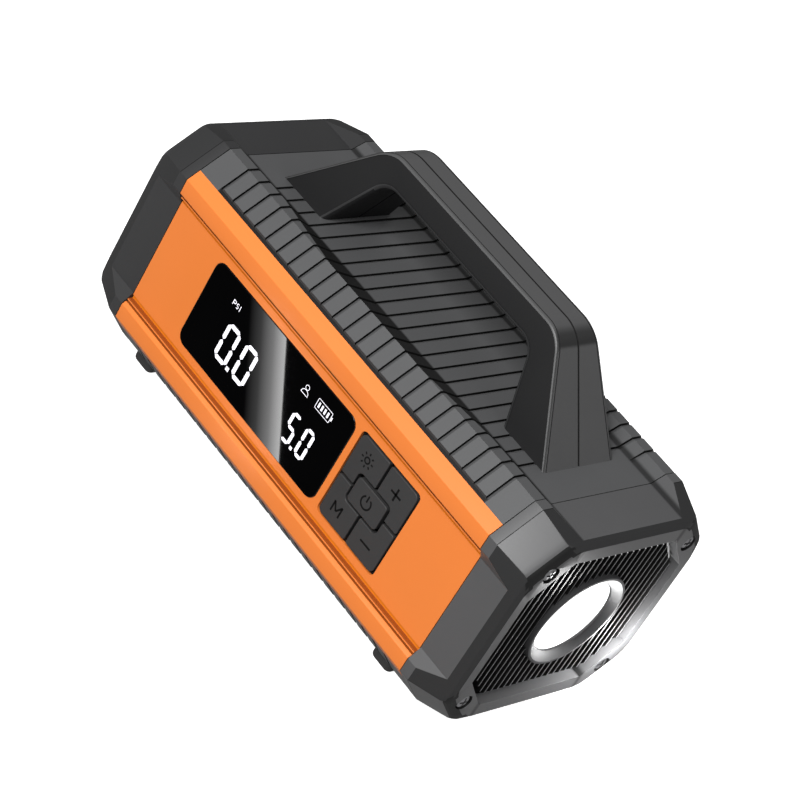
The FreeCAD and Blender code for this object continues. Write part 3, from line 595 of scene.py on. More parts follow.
def cap_loop(x):
    """The body's section with its sides and corners moved in by the cap's taper.
    The sunk plate and panel stay level until the taper reaches them."""
    side_in = np.interp(x, [CREASE_X, SHOULDER_X, HALF_LEN], [0, SHOULDER_IN, RIM_IN])
    top_in = np.interp(x, [CREASE_X, SHOULDER_X, HALF_LEN], [0, TOP_SHOULDER_IN, TOP_RIM_IN])
    corner_in = np.interp(x, CORNER_X, CORNER_IN)
    roll = np.interp(x, ROLL_X, ROLL_R)
    top, side = CREST_H - top_in, HALF_W - side_in
    total = CHAMFER_SUM - corner_in * math.sqrt(2)
    rail = np.interp(top, [PLATE_H, CREST_H], [PLATE_Y, RAIL_Y])
    strip = np.interp(side, [PANEL_W, HALF_W], [PANEL_H, STRIP_H])
    corners = [
        (PLATE_Y, min(top, PLATE_H)), (rail, top), (total - top, top),
        (side, total - side), (side, strip), (min(side, PANEL_W), PANEL_H),
    ]
    return whole_loop(spread_corners(corners, roll), x)


def pocket_loop(x, grow=0.0):
    """The pocket's octagon at x, grown all round, with as many points as cap_loop."""
    top_y, top = POCKET_TOP_Y + grow * 0.4, POCKET_TOP + grow
    side, side_h = POCKET_SIDE + grow, POCKET_SIDE_H + grow * 0.4
    corners = [(top_y - 2, top), (top_y - 1, top), (top_y, top)]
    corners += [(side, side_h), (side, side_h - 1), (side, side_h - 2)]
    return whole_loop(spread_corners(corners, 0.0), x)


def ring_loop(loop, x, radius):
    """A circle whose points lie at the same bearings as the points of a loop."""
    bearing = np.arctan2(loop[:, 2], loop[:, 1])
    xs = np.full(len(loop), float(x))
    return np.column_stack([xs, radius * np.cos(bearing), radius * np.sin(bearing)])


def cap_forms(floor_x, opening_r):
    """Loops from the seam over the taper and the rim, down the pocket to its floor,
    through the floor's opening and back along the inside."""
    plate_meets = CREASE_X + (SHOULDER_X - CREASE_X) * (CREST_H - PLATE_H) / TOP_SHOULDER_IN
    panel_meets = CREASE_X + (SHOULDER_X - CREASE_X) * (HALF_W - PANEL_W) / SHOULDER_IN
    kinks = {SEAM_X + SEAM_GAP, CREASE_X - CREASE_HALF, CREASE_X + CREASE_HALF, SHOULDER_X}
    stations = sorted(kinks | {panel_meets, plate_meets} | set(CORNER_X[1:]))
    loops = [cap_loop(x) for x in stations]
    loops += [pocket_loop(HALF_LEN), pocket_loop(floor_x)]
    inside = floor_x - SHELL_WALL
    loops += [ring_loop(loops[-1], floor_x, opening_r), ring_loop(loops[-1], inside, opening_r)]
    loops += [pocket_loop(inside, 1.4), pocket_loop(SEAM_X + SEAM_GAP, 1.4)]
    return [sheet(np.stack(loops), wrap_rows=True, wrap_cols=True)]


def prism(outline, lo, hi, axis="x"):
    """An outline of (y, z), or of (x, z) along y, carried from lo to hi and closed."""
    outline = np.asarray(outline, float)
    ends = []
    for at in (lo, hi):
        depth = np.full(len(outline), float(at))
        order = (depth, outline[:, 0]) if axis == "x" else (outline[:, 0], depth)
        ends.append(np.column_stack([*order, outline[:, 1]]))
    return [sheet(np.stack(ends), wrap_cols=True), lid(ends[0]), lid(ends[1])]


def circle(radius, y=0.0, z=0.0, count=40):
    """Points round a circle of (y, z)."""
    angle = np.linspace(0, 2 * math.pi, count, endpoint=False)
    return np.column_stack([y + radius * np.cos(angle), z + radius * np.sin(angle)])


def carve(piece, forms):
    """Cuts closed forms out of a piece and keeps the result as its mesh."""
    cutter = piece_of("cutter", forms, [])
    cut = piece.modifiers.new("cut", "BOOLEAN")
    cut.operation = "DIFFERENCE"
    cut.solver = "EXACT"
    cut.object = cutter
    view = bpy.context.evaluated_depsgraph_get()
    mesh = bpy.data.meshes.new_from_object(piece.evaluated_get(view))
    piece.modifiers.remove(cut)
    piece.data = mesh
    mesh.shade_smooth()
    mesh.set_sharp_from_angle(angle=math.radians(14))
    bpy.data.objects.remove(cutter)


def cap_shade_paint(normals, centres):
    """1 for a dark painted shade on the taper, apart from its four corners, and 2 for a
    near-black painted shadow on the fine crease, the steep end of each corner and the screw recesses."""
    x, tilt = np.abs(centres[:, 0]), np.abs(normals[:, 0])
    square = np.minimum(np.abs(normals[:, 1]), np.abs(normals[:, 2]))
    radial = (normals[:, 1:] * centres[:, 1:]).sum(axis=1) > 0
    taper = (tilt > 0.15) & (tilt < 0.93) & (square < 0.35) & (x > CREASE_X) & radial
    steep = (tilt > 0.62) & (tilt < 0.985) & (square >= 0.12) & (x > 98) & radial
    on_chamfer = (np.abs(centres[:, 1]) > RAIL_Y) & (np.abs(centres[:, 2]) > SIDE_H)
    crease = (np.abs(x - CREASE_X) < 0.05) & on_chamfer
    off_y, off_z = np.abs(centres[:, 1]) - SCREW_Y, np.abs(centres[:, 2]) - SCREW_Z
    recess = (np.hypot(off_y, off_z) < RECESS_R + 0.1) & (x > HEAD_SEAT_X - 0.1) & (tilt < 0.1)
    recess |= (np.hypot(off_y, off_z) < RECESS_R) & (np.abs(x - HEAD_SEAT_X) < 0.05)
    return np.select([crease | steep | recess, taper], [2, 1], 0)


SCREWS = [(y, z) for y in (-SCREW_Y, SCREW_Y) for z in (-SCREW_Z, SCREW_Z)]
recess = [form for y, z in SCREWS for form in prism(circle(RECESS_R, y, z), HEAD_SEAT_X, HALF_LEN + 2)]

cap_black = moulded("cap_black", (0.088, 0.088, 0.09), 0.44, grain=0.35, height=0.015)
# The taper's darker black and the near-black shadow black are painted shade on the caps.
cap_taper_shade = moulded("cap_taper_shade", (0.024, 0.024, 0.0245), 0.55, grain=0.35, height=0.015, shine=0.35)
cap_shadow = moulded("cap_shadow", 0.006, 0.6, grain=0.35, height=0.015, shine=0.3)
cap_blacks = [cap_black, cap_taper_shade, cap_shadow]
# The shell's painted shade band also runs along the foot of the caps' rail slopes.
darkened(cap_black, distance_from_middle, VALLEY)
piece_of(
    "lamp_end_housing", cap_forms(CAP_FLOOR_X, LAMP_HOLE_R), cap_blacks,
    node="lamp_end_cap", cuts=recess, paint=cap_shade_paint, ease=0.3, steps=3,
)

# The port cap is the same moulding turned round, with a shallower floor that is
# pierced for the sockets, the air outlet and a row of vent slots.
VENT_COUNT, VENT_PITCH = 6, 3.8
# The port cap's black is darker than the lamp cap's, as painted shade on the end that faces away from the
# key light.
port_shaded_black = moulded("port_shaded_black", (0.031, 0.031, 0.032), 0.5, grain=0.35, height=0.015)
port_cuts = scaled(recess, x=-1)
wall_x = (-PORT_FLOOR_X - 0.6, -PORT_FLOOR_X + SHELL_WALL + 0.5)
for socket in ("jump_socket", "usb_a_socket", "usb_c_socket"):
    low, high = (np.array(corner) / MM - (0, 0, MID_Z / MM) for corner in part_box(socket))
    port_cuts += prism(box_corners((low[1], high[1], low[2], high[2])), *wall_x)
for i in range(VENT_COUNT):
    y = 12.0 + i * VENT_PITCH
    slot = rounded(box_corners((y, y + 1.8, -20.0, 10.0)), 0.85, steps=4)
    port_cuts += prism(slot, *wall_x)
port_cuts += prism(circle(5.0, 23.0, 24.0), *wall_x)
port_forms = scaled(cap_forms(PORT_FLOOR_X, PORT_HOLE_R), x=-1)
piece_of(
    "port_end_housing", port_forms, [port_shaded_black, cap_taper_shade, cap_shadow],
    node="port_end_cap", cuts=port_cuts, paint=cap_shade_paint, ease=0.3, steps=3,
)

# ---------------- screws
# Blackened steel pan-head screws with a cross slot hold each cap to the shells.
HEAD_R, HEAD_T, HEAD_LIFT = 2.75, 2.3, 1.55
SLOT_REACH, SLOT_HALF = 1.8, 0.38


def turned(profile, axis_at=(0.0, 0.0), count=96, axis="x"):
    """A closed (along, radius) profile turned about an axis along x, y or z."""
    profile = np.asarray(profile, float)
    angle = np.linspace(0, 2 * math.pi, count, endpoint=False)[None, :]
    along = np.repeat(profile[:, :1], count, axis=1)
    across = axis_at[0] + profile[:, 1:] * np.cos(angle)
    up = axis_at[1] + profile[:, 1:] * np.sin(angle)
    order = {"x": (along, across, up), "y": (across, along, up), "z": (across, up, along)}[axis]
    return sheet(np.stack(order, axis=-1), wrap_rows=True, wrap_cols=True)


def metal(name, colour, roughness, scratch=0.15):
    """Bare or plated metal with fine turning marks in its roughness."""
    mat = moulded(name, colour, roughness, grain=0.15, height=0.004, cloud=scratch)
    fill(mat.node_tree.nodes["Principled BSDF"], {"Metallic": 1.0})
    return mat


blackened_steel = metal("blackened_steel", (0.3, 0.3, 0.31), 0.38)


def screw_heads(side):
    """Domed heads with a cross of two slots sunk into each."""
    arm = np.array([(SLOT_REACH, -SLOT_HALF), (SLOT_REACH, SLOT_HALF), (SLOT_HALF, SLOT_HALF)])
    turns = ((1, 0), (0, 1), (-1, 0), (0, -1))
    cross = np.vstack([arm @ np.array([[c, s], [-s, c]]) for c, s in turns])
    forms, slots = [], []
    seat, top = HEAD_SEAT_X + HEAD_LIFT, HEAD_SEAT_X + HEAD_LIFT + HEAD_T
    dome = [(seat, 0), (seat, HEAD_R), (seat + 1.3, HEAD_R), (seat + 1.9, 2.35), (seat + 2.2, 1.6), (top, 0)]
    for middle in SCREWS:
        forms.append(turned(dome, middle, count=32))
        slots += prism(cross + middle, seat + 0.9, top + 1)
    return scaled(forms, x=side), scaled(slots, x=side)


for end, side in (("lamp", 1), ("port", -1)):
    heads, slots = screw_heads(side)
    piece_of(
        f"{end}_cap_screw_heads", heads, [blackened_steel],
        node=f"{end}_cap_screws", cuts=slots, ease=0.12,
    )

# ---------------- fin grille
# Twenty-four thin upright fins of dark plastic stand on a back plate inside the
# lamp end's pocket, and stop at the round bezel of the lamp.
FIN_COUNT, FIN_PITCH, FIN_HALF = 24, 3.0, 0.28
FIN_WALL_X, FIN_FACE_X, FIN_LEAN = 95.8, 98.2, 3.1
BACK_PLATE_X = CAP_FLOOR_X + 1.2
BEZEL_R, PLATE_HOLE_R = 19.0, 16.0


def fin_forms():
    """Upright blades whose ends lean back to the pocket's wall. Where the bezel
    crosses a blade, it is two: one above the bezel and one below."""
    forms = []
    for i in range(FIN_COUNT):
        y = (i - (FIN_COUNT - 1) / 2) * FIN_PITCH
        over = max(0.0, abs(y) + FIN_HALF - POCKET_TOP_Y)
        fall = (POCKET_TOP - POCKET_SIDE_H) / (POCKET_SIDE - POCKET_TOP_Y)
        top = POCKET_TOP - over * fall - 0.1
        clear = math.sqrt(max(0.0, BEZEL_R ** 2 - (abs(y) - FIN_HALF) ** 2)) if abs(y) < BEZEL_R else 0.0
        face, wall, back = FIN_FACE_X, FIN_WALL_X, CAP_FLOOR_X + 0.4
        if clear:
            lean = [(face, top - FIN_LEAN)] if top - FIN_LEAN >= clear + 0.3 else []
            upper = [(back, clear), (face, clear), *lean, (wall, top), (back, top)]
            outlines = [upper, [(x, -z) for x, z in reversed(upper)]]
        else:
            half = [(face, top - FIN_LEAN), (wall, top), (back, top)]
            outlines = [[(x, -z) for x, z in reversed(half)] + half]
        for outline in outlines:
            forms += prism(outline, y - FIN_HALF, y + FIN_HALF, axis="y")
    return forms


def back_plate():
    """The octagon behind the fins, with a round hole for the bezel."""
    outer = pocket_loop(CAP_FLOOR_X + 0.05, -0.1)
    holes = [ring_loop(outer, x, PLATE_HOLE_R) for x in (BACK_PLATE_X, CAP_FLOOR_X + 0.05)]
    return [sheet(np.stack([outer, outer + (1.15, 0, 0), *holes]), wrap_rows=True, wrap_cols=True)]


grille_black = moulded("grille_black", 0.004, 0.5, grain=0.3, height=0.008)
# Lighter front edges are a painted highlight, and the fins' upper ends are a pale painted glow with a faint
# emission.
fin_edge_highlight = moulded("fin_edge_highlight", (0.09, 0.09, 0.091), 0.4, grain=0.3, height=0.008)
fin_tip_glow = moulded("fin_tip_glow", 0.6, 0.4, grain=0.3, height=0.008)
fill(fin_tip_glow.node_tree.nodes["Principled BSDF"], {"Emission Color": (1, 1, 1, 1), "Emission Strength": 0.25})


def fin_highlight_paint(normals, centres):
    """1 for a painted highlight on the fins' front edges, and 2 for a painted glow on their upper ends."""
    proud = centres[:, 0] > BACK_PLATE_X + 1
    edge = proud & (normals[:, 0] > 0.9)
    tip = proud & (normals[:, 0] > 0.3) & (normals[:, 0] <= 0.9) & (centres[:, 2] > 20)
    return np.select([tip, edge], [2, 1], 0)


piece_of(
    "cooling_fins", fin_forms() + back_plate(), [grille_black, fin_edge_highlight, fin_tip_glow],
    node="fin_grille", paint=fin_highlight_paint,
)

# ---------------- lamp
# A grey bezel ring funnels down to a domed frosted lens, lit from behind by a
# white emitter. Its beam spills over the lower far corner of the cap.
LENS_R, BEZEL_X = 14.8, 99.6
bezel_grey = moulded("bezel_grey", (0.045, 0.045, 0.047), 0.55, grain=0.3, height=0.006, shine=0.3)
bezel_profile = rounded([
    (CAP_FLOOR_X + 0.2, BEZEL_R), (BEZEL_X, BEZEL_R), (BEZEL_X, 18.0), (97.6, LENS_R + 0.15),
    (95.2, LENS_R + 0.15), (95.2, 13.5), (CAP_FLOOR_X + 0.2, 13.5),
], [0, 0.3, 0.35, 0.3, 0, 0, 0], steps=4)
piece_of("lamp_bezel_ring", [turned(bezel_profile)], [bezel_grey], node="lamp_bezel")

lens_arc = np.linspace(0, 1, 14)
dome = np.column_stack([98.2 - 1.2 * lens_arc ** 2, LENS_R * lens_arc])
lens_profile = np.vstack([dome, [(95.7, LENS_R), (95.7, 0.0)]])
lamp_lens_white = moulded("lamp_lens_white", 0.9, 0.25, grain=0.6, height=0.004, cloud=0.01)
lens_light = {"Emission Color": (1, 1, 1, 1), "Emission Strength": 1.4}
fill(lamp_lens_white.node_tree.nodes["Principled BSDF"], lens_light)
piece_of("lamp_dome_lens", [turned(lens_profile)], [lamp_lens_white], node="lamp_lens")
beam = bpy.data.lights.new("lamp_beam", "POINT")
beam.energy = 0.09
beam.shadow_soft_size = 0.004
beam_lamp = bpy.data.objects.new("lamp_beam", beam)
beam_lamp.location = (0.1085, 0.030, MID_Z - 0.016)
bpy.context.collection.objects.link(beam_lamp)

# ---------------- handle
# The carrying handle is two nylon halves that meet along the middle of the grip.
# Its outer faces are satin, its flanks matt, and a fine groove runs beside the edge.
HANDLE_TOP, UNDER_Z = 72.0, 62.0
HANDLE_OUT = (70.2, 43.7)
HANDLE_IN = (48.4, 37.7)
HANDLE_LEAN, GRIP_HALF = 0.235, 9.1
BEAD_R, UNDER_R, FLANK_STEP = 0.85, 2.6, 0.3


def arch_path(foot_x, top_x, top, radius, steps=14):
    """The arch's edge seen from the side: up one leg, over and down the other."""
    foot_z = PLATE_H - 0.3
    corners = [(-foot_x, foot_z), (-top_x, top), (top_x, top), (foot_x, foot_z)]
    return rounded(corners, radius, steps=steps, closed=False)


def handle_half():
    """Sections between the arch's outer and inner edge. A section is given by how
    far in from the outer edge a point lies and how far it is from the flank."""
    outer = arch_path(*HANDLE_OUT, HANDLE_TOP, 13.0)
    inner = arch_path(*HANDLE_IN, UNDER_Z, 8.0)
    depth = np.linalg.norm(inner - outer, axis=1)
    inward = (inner - outer) / depth[:, None]
    quarter = np.linspace(0, math.pi / 2, 6)
    bead = np.column_stack([BEAD_R * (1 - np.cos(quarter)), BEAD_R * (1 - np.sin(quarter))])
    groove = np.array([(0.0, 1.45), (0.45, 1.4), (0.45, 1.05), (0.0, 1.0)])
    near = np.vstack([groove, bead, [(BEAD_R + 0.1, FLANK_STEP)]])
    far = np.column_stack([UNDER_R * (1 - np.sin(quarter)), FLANK_STEP + UNDER_R * (1 - np.cos(quarter))])
    loops = []
    for start, way, length in zip(outer, inward, depth):
        into = np.concatenate([[0.4, 0.0], near[:, 0], length - far[:, 0], [length, length - 0.3]])
        at = start + way * into[:, None]
        half = GRIP_HALF + HANDLE_LEAN * (HANDLE_TOP - at[2:-2, 1])
        half -= np.concatenate([near[:, 1], far[:, 1]])
        ys = np.concatenate([[0.06, 0.4], half, [0.35, 0.06]])
        loops.append(np.column_stack([at[:, 0], ys, at[:, 1]]))
    grid = np.stack(loops)
    return [sheet(grid, wrap_cols=True), lid(grid[0]), lid(grid[-1])]


handle_satin = moulded("handle_satin", (0.085, 0.085, 0.086), 0.42, grain=0.35, height=0.012)
# The flank black also paints shade on the faces towards the opening, and the roll's lighter black is a
# painted highlight.
handle_flank_and_shade = moulded("handle_flank_and_shade", (0.010, 0.010, 0.0105), 0.6, grain=0.35, height=0.012, shine=0.3)
handle_roll_highlight = moulded("handle_roll_highlight", (0.034, 0.034, 0.035), 0.4, grain=0.35, height=0.012)
handle_line = moulded("handle_line", 0.003, 0.7, grain=0.35, height=0.012, shine=0.2)
handle_blacks = [handle_satin, handle_flank_and_shade, handle_roll_highlight, handle_line]


def turn_along_body(mat):
    """How far a surface faces along X, either way."""
    return size_of(mat, "NewGeometry", "Normal", "X")


# A painted shade darkens the two bends of the grip against its straight runs.
BEND_SHADE = ((0.0, 1.0), (0.2, 0.95), (0.5, 0.3), (0.68, 0.22), (0.76, 0.9), (1.0, 1.0))
darkened(handle_satin, turn_along_body, BEND_SHADE)


def handle_finish_and_painted_light(normals, centres):
    """1 for the dark matt flanks, inside the bright bead that runs round them, and a painted
    shade on the faces towards the opening. 2 for a painted highlight on the soft roll between them, 3 for
    the parting."""
    half = GRIP_HALF + HANDLE_LEAN * (HANDLE_TOP - centres[:, 2])
    across = np.abs(normals[:, 1])
    inward = -normals[:, 0] * np.sign(centres[:, 0]) - normals[:, 2]
    flank = (across > 0.9) & (np.abs(centres[:, 1]) < half - 0.12)
    opening = (inward > 0.1) & (across <= 0.7)
    roll = (inward > 0.05) & (across > 0.7) & (across < 0.99)
    parting = np.abs(centres[:, 1]) < 0.3
    return np.select([parting, roll, flank | opening], [3, 2, 1], 0)


for side, flip in (("back", 1), ("display", -1)):
    piece_of(
        f"handle_shell_{side}", scaled(handle_half(), y=flip), handle_blacks,
        node=f"handle_{side}_half", paint=handle_finish_and_painted_light, crisp=22,
    )

# ---------------- feet
# Four soft rubber pads are pressed into seats under the body. Their corners and
# their lower edges are rounded.
foot_rubber = moulded("foot_rubber", 0.05, 0.75, grain=0.5, height=0.03, shine=0.3)
FOOT_X, FOOT_Y = (-72.0, 67.5), 29.5
FOOT_HALF, FOOT_CORNER, FOOT_EDGE = (4.7, 4.9), 2.0, 1.5
FOOT_TOP = -PLATE_H + 1.2


def foot_forms(x, y):
    """Rounded rectangles stacked from the seat down, drawn in along a quarter
    circle at the lower edge."""
    turn = np.linspace(0, math.pi / 2, 6)
    levels = [(FOOT_TOP, 0.0)] + [
        (-MID_Z / MM + FOOT_EDGE * (1 - math.sin(a)), FOOT_EDGE * (1 - math.cos(a))) for a in turn
    ]
    loops = []
    for z, shrink in levels:
        wide, deep = FOOT_HALF[0] - shrink, FOOT_HALF[1] - shrink
        outline = rounded(box_corners((-wide, wide, -deep, deep)), FOOT_CORNER - shrink * 0.6, steps=5)
        loops.append(np.column_stack([outline + (x, y), np.full(len(outline), z)]))
    return [sheet(np.stack(loops), wrap_cols=True), lid(loops[0]), lid(loops[-1])]


foot_pads = [form for x in FOOT_X for y in (-FOOT_Y, FOOT_Y) for form in foot_forms(x, y)]
piece_of("rubber_foot_pads", foot_pads, [foot_rubber], node="rubber_feet")

# ---------------- display
# A black glass pane lies flush in its window. The lit figures show through it:
# two pressure readings, their unit, a person mark and a battery with four bars.
GLASS_Y, PANE_GAP = PANEL_W + 0.2, 0.15
# Smoked glass is near-black and mirror smooth, with faint broad smears.
display_glass = moulded("display_glass", (0.002, 0.002, 0.0022), 0.045, grain=12.0, height=0.0005, cloud=0.2)
pane_rect = [edge + inward * PANE_GAP for edge, inward in zip(DISPLAY, (1, -1, 1, -1))]
pane = rounded(box_corners(pane_rect), 3.85)
piece_of(
    "display_pane", prism(pane, -GLASS_Y, -PANEL_W + 1.6, axis="y"), [display_glass],
    node="display_glass", ease=0.18, steps=3, limit=60,
)

FIGURE_Y = -GLASS_Y - 0.02
FIGURE_T = 0.03
SEGMENTS = {"0": "abcdef", "5": "afgcd"}


def lit_plate(outline):
    """A thin lit shape just in front of the glass."""
    return prism(outline, FIGURE_Y, FIGURE_Y + FIGURE_T, axis="y")


def segment_bars(figure, x0, z0, wide, tall, stroke):
    """The lit bars of one seven-segment figure: each is a six-sided bar, pointed
    at its ends, laid along one side of the figure's two stacked squares."""
    x1, z1, mid = x0 + wide, z0 + tall, z0 + tall / 2
    inset, gap = stroke / 2, 0.16
    left, right, top, bottom = x0 + inset, x1 - inset, z1 - inset, z0 + inset
    ends = {
        "a": ((left, top), (right, top)), "g": ((left, mid), (right, mid)),
        "d": ((left, bottom), (right, bottom)), "f": ((left, mid), (left, top)),
        "e": ((left, bottom), (left, mid)), "b": ((right, mid), (right, top)),
        "c": ((right, bottom), (right, mid)),
    }
    forms = []
    for letter in SEGMENTS[figure]:
        start, end = (np.array(p) for p in ends[letter])
        way = (end - start) / np.linalg.norm(end - start)
        side = np.array([-way[1], way[0]]) * stroke / 2
        start, end = start + way * gap, end - way * gap
        near, far = start + way * stroke / 2, end - way * stroke / 2
        forms += lit_plate([start, near + side, far + side, end, far - side, near - side])
    return forms


def stroke_form(path, width, face_y, thick, closed=False):
    """A flat line of even width along an (x, z) path: points are set off to both
    sides of the path and given a thickness."""
    path = np.asarray(path, float)
    if closed:
        tangent = np.roll(path, -1, axis=0) - np.roll(path, 1, axis=0)
    else:
        tangent = np.gradient(path, axis=0)
    tangent /= np.linalg.norm(tangent, axis=1, keepdims=True)
    off = np.column_stack([-tangent[:, 1], tangent[:, 0]]) * width / 2
    left, right = path + off, path - off
    back_y = face_y + thick
    edges = ((left, face_y), (right, face_y), (right, back_y), (left, back_y))
    grid = np.stack([on_plane(line, y) for line, y in edges])
    forms = [sheet(grid, wrap_rows=True, wrap_cols=closed)]
    if not closed:
        forms += [lid(grid[:, 0]), lid(grid[:, -1])]
    return forms


def strokes(paths, width, face_y, thick):
    """Several open lines of one width."""
    return [form for path in paths for form in stroke_form(path, width, face_y, thick)]


def arc(cx, cz, radius, start, end, count=24):
    """Points of (x, z) along a circle, between two bearings in degrees."""
    angle = np.radians(np.linspace(start, end, count))
    return np.column_stack([cx + radius * np.cos(angle), cz + radius * np.sin(angle)])


figures = segment_bars("0", -41.0, -10.0, 7.0, 14.4, 1.55) + segment_bars("0", -31.0, -10.0, 7.0, 14.4, 1.55)
figures += segment_bars("5", -2.2, -10.3, 4.7, 11.7, 1.25) + segment_bars("0", 5.2, -10.3, 4.7, 11.7, 1.25)
for x, z, half in ((-32.9, -10.0, 0.75), (3.75, -10.3, 0.6)):
    figures += lit_plate(box_corners((x - half, x + half, z, z + 2 * half)))
lit_white = moulded("lit_white", (0.6, 0.6, 0.62), 0.3, grain=0.5, height=0.001, cloud=0.02)
figure_light = {"Emission Color": (0.93, 0.91, 1.0, 1), "Emission Strength": 1.0}
fill(lit_white.node_tree.nodes["Principled BSDF"], figure_light)
piece_of("display_figures", figures, [lit_white])

UNIT_X, UNIT_Z, UNIT_TALL = -43.7, 9.35, 2.0
letter_p = [
    [(UNIT_X, UNIT_Z), (UNIT_X, UNIT_Z + UNIT_TALL)],
    np.vstack([
        [(UNIT_X, UNIT_Z + 1.85)], arc(UNIT_X + 0.75, UNIT_Z + 1.35, 0.5, 90, -90, 8),
        [(UNIT_X, UNIT_Z + 0.85)],
    ]),
]
middle_x = UNIT_X + 2.35
letter_s = [np.vstack([
    arc(middle_x, UNIT_Z + 1.42, 0.45, 40, 270, 10), arc(middle_x, UNIT_Z + 0.55, 0.45, 90, -140, 10),
])]
letter_i = [[(UNIT_X + 3.75, UNIT_Z), (UNIT_X + 3.75, UNIT_Z + UNIT_TALL)]]
marks = strokes(letter_p + letter_s + letter_i, 0.26, FIGURE_Y, FIGURE_T)
marks += stroke_form(arc(-2.2, 11.0, 0.85, 0, 345), 0.2, FIGURE_Y, FIGURE_T, closed=True)
shoulders = np.vstack([[(-4.0, 8.3)], arc(-2.25, 8.3, 1.7, 165, 15, 14), [(-0.5, 8.3), (-4.0, 8.3)]])
marks += strokes([shoulders], 0.2, FIGURE_Y, FIGURE_T)
BATTERY = (3.6, 11.0, 8.2, 12.0)
marks += stroke_form(rounded(box_corners(BATTERY), 0.3, steps=4), 0.2, FIGURE_Y, FIGURE_T, closed=True)
marks += lit_plate(box_corners((11.25, 11.75, 9.4, 10.8)))
for i in range(4):
    x = 4.5 + i * 1.55
    marks += lit_plate(box_corners((x, x + 0.75, 9.1, 11.1)))
piece_of("display_marks", marks, [lit_white])

# ---------------- keypad
# Five silicone keys fill a window beside the display: four corner keys cut back
# round a raised power key, each with its mark sunk dark into its face.
PAD_X = (KEYPAD[0] + KEYPAD[1]) / 2
PAD_HALF_X, PAD_HALF_Z = (KEYPAD[1] - KEYPAD[0]) / 2, KEYPAD[3]
KEY_EDGE, KEY_GAP = 0.75, 0.95
KEY_FACE, KEY_BACK = -PANEL_W - 0.3, -PANEL_W + 2.2
POWER_X, POWER_Z = 7.4, 4.9
MARK_T, POWER_LIFT = 0.05, 0.3
MARK_Y = KEY_FACE - MARK_T / 2
keypad_rubber = moulded("keypad_rubber", (0.037, 0.0365, 0.037), 0.5, grain=0.4, height=0.012, shine=0.4)
mark_black = moulded("mark_black", 0.004, 0.7, grain=0.4, height=0.01, shine=0.1)


def corner_key(x_side, z_side):
    """An L-shaped outline that leaves a rounded notch for the power key."""
    gap, wide, tall = KEY_GAP / 2, PAD_HALF_X - KEY_EDGE, PAD_HALF_Z - KEY_EDGE
    notch_x, notch_z = POWER_X + KEY_GAP, POWER_Z + KEY_GAP
    corners = [(gap, notch_z), (gap, tall), (wide, tall), (wide, gap), (notch_x, gap), (notch_x, notch_z)]
    outline = rounded(corners, [0.4, 0.8, 2.1, 0.8, 0.4, 1.9])
    outline = outline * (x_side, z_side) + (PAD_X, 0)
    return prism(outline, KEY_FACE, KEY_BACK, axis="y")


def sun_mark(cx, cz):
    """A small ring with eight short rays round it."""
    forms = stroke_form(arc(cx, cz, 1.05, 0, 345), 0.55, MARK_Y, MARK_T, closed=True)
    for k in range(8):
        way = np.array([math.cos(k * math.pi / 4), math.sin(k * math.pi / 4)])
        ray = [np.array([cx, cz]) + way * 1.95, np.array([cx, cz]) + way * 2.85]
        forms += stroke_form(ray, 0.55, MARK_Y, MARK_T)
    return forms


key_marks = {
    "light": sun_mark(30.6, 10.7),
    "plus": strokes([[(43.4, 10.6), (48.2, 10.6)], [(45.8, 8.2), (45.8, 13.0)]], 0.75, MARK_Y, MARK_T),
    "mode": strokes([
        [(28.4, -12.9), (28.4, -8.8)], [(28.4, -8.8), (30.3, -11.7)], [(30.3, -11.7), (32.2, -8.8)],
        [(32.2, -8.8), (32.2, -12.9)],
    ], 0.68, MARK_Y, MARK_T),
    "minus": strokes([[(43.4, -11.05), (48.4, -11.05)]], 0.7, MARK_Y, MARK_T),
    "power": strokes(
        [arc(38.4, -0.1, 2.2, 122, 418), [(38.4, 0.2), (38.4, 2.7)]], 0.6, MARK_Y - POWER_LIFT, MARK_T,
    ),
}
power_outline = rounded(box_corners((PAD_X - POWER_X, PAD_X + POWER_X, -POWER_Z, POWER_Z)), 1.4)
key_shapes = {
    "light": corner_key(-1, 1), "plus": corner_key(1, 1),
    "mode": corner_key(-1, -1), "minus": corner_key(1, -1),
    "power": prism(power_outline, KEY_FACE - POWER_LIFT, KEY_BACK, axis="y"),
}
for key, shape in key_shapes.items():
    body = f"{key}_key"
    piece_of(
        f"{key}_key_cap", shape, [keypad_rubber], body=body, node=body,
        ease=0.35, steps=3, limit=50,
    )
    piece_of(f"{key}_key_mark", key_marks[key], [mark_black], body=body)

bpy.context.view_layer.update()

# ---------------- port end
# Soft flaps hinge over the sockets, and a turned brass fitting takes the air hose.
cover_rubber = moulded("cover_rubber", (0.02, 0.02, 0.021), 0.68, grain=0.5, height=0.02, shine=0.3)
brass = metal("brass", (0.72, 0.52, 0.24), 0.3)


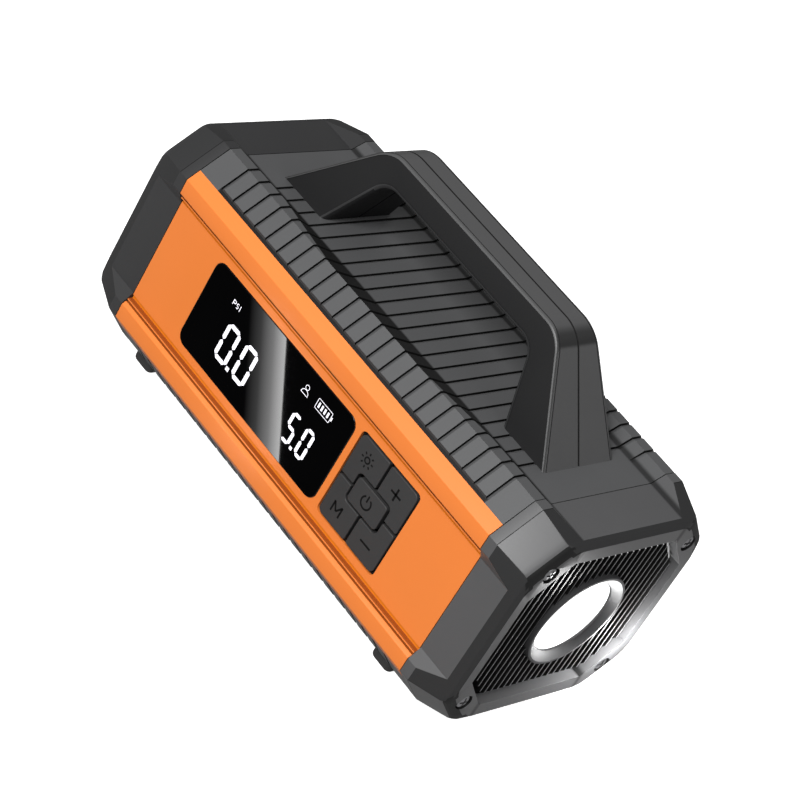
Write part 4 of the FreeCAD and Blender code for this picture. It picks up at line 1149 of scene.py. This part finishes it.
def softened_copy(node, name, mat, body="case", width=0.3, limit=30):
    """A CAD solid's own surface, merged into whole faces, with its edges rounded."""
    source = frame["nodes"][node]
    mesh = source.data.copy()
    mesh.name = name
    mesh.materials.clear()
    mesh.materials.append(mat)
    work = bmesh.new()
    work.from_mesh(mesh)
    bmesh.ops.remove_doubles(work, verts=work.verts, dist=2e-6)
    bmesh.ops.dissolve_limit(work, angle_limit=math.radians(1), verts=work.verts, edges=work.edges)
    bmesh.ops.recalc_face_normals(work, faces=work.faces)
    for face in work.faces:
        face.material_index = 0
    work.to_mesh(mesh)
    work.free()
    mesh.shade_smooth()
    mesh.set_sharp_from_angle(angle=math.radians(25))
    piece = bpy.data.objects.new(name, mesh)
    bpy.context.collection.objects.link(piece)
    eased(piece, width, 2, limit)
    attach(piece, body)
    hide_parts(node)
    return piece


softened_copy("jump_cover", "jump_socket_flap", cover_rubber, "jump_cover", 0.25)
softened_copy("usb_cover", "usb_socket_flap", cover_rubber, "usb_cover", 0.25)
softened_copy("air_outlet", "air_outlet_fitting", brass, width=0.25)

# ---------------- inside and small parts
# Everything else keeps its CAD shape, and gets the finish of what it is made of.
metals = {
    "steel": ((0.55, 0.56, 0.58), 0.3), "aluminium": ((0.78, 0.79, 0.8), 0.38),
    "copper": ((0.8, 0.42, 0.25), 0.3), "socket_steel": (0.6, 0.25), "reflector": (0.9, 0.1),
    "cell_foil": ((0.7, 0.71, 0.72), 0.45), "magnet": ((0.2, 0.2, 0.21), 0.5),
}
plastics = {
    "display_unit": (0.02, 0.4), "switch_body": (0.03, 0.4), "tray_plastic": ((0.05, 0.05, 0.055), 0.5),
    "handle_nylon": (0.05, 0.5), "socket_plastic": ((0.012, 0.03, 0.12), 0.4),
}
finishes = {
    "blackened_steel": blackened_steel, "brass_fitting": brass,
    "shell_black": shell_black, "cap_black": cap_black,
    "circuit_board": moulded("circuit_board", (0.01, 0.09, 0.03), 0.35, 1.2, 0.01, 0.3),
    "led_white": moulded("led_yellow", (0.9, 0.8, 0.4), 0.4),
    "soft_rubber": moulded("soft_rubber", 0.02, 0.7, shine=0.3),
    "gear_nylon": moulded("gear_nylon", (0.75, 0.73, 0.68), 0.45, cloud=0.05),
    "keypad_rubber": moulded("keypad_seal", 0.006, 0.7, shine=0.2),
}
finishes.update({name: metal(name, *look) for name, look in metals.items()})
finishes.update({name: moulded(name, *look) for name, look in plastics.items()})
node_slots = {part["node"]: part["material_slot"] for part in frame["record"]["subparts"]}
for name, node in frame["nodes"].items():
    finish = finishes.get(node_slots.get(name))
    if finish is None or node.hide_render:
        continue
    for slot_entry in node.material_slots:
        slot_entry.material = finish
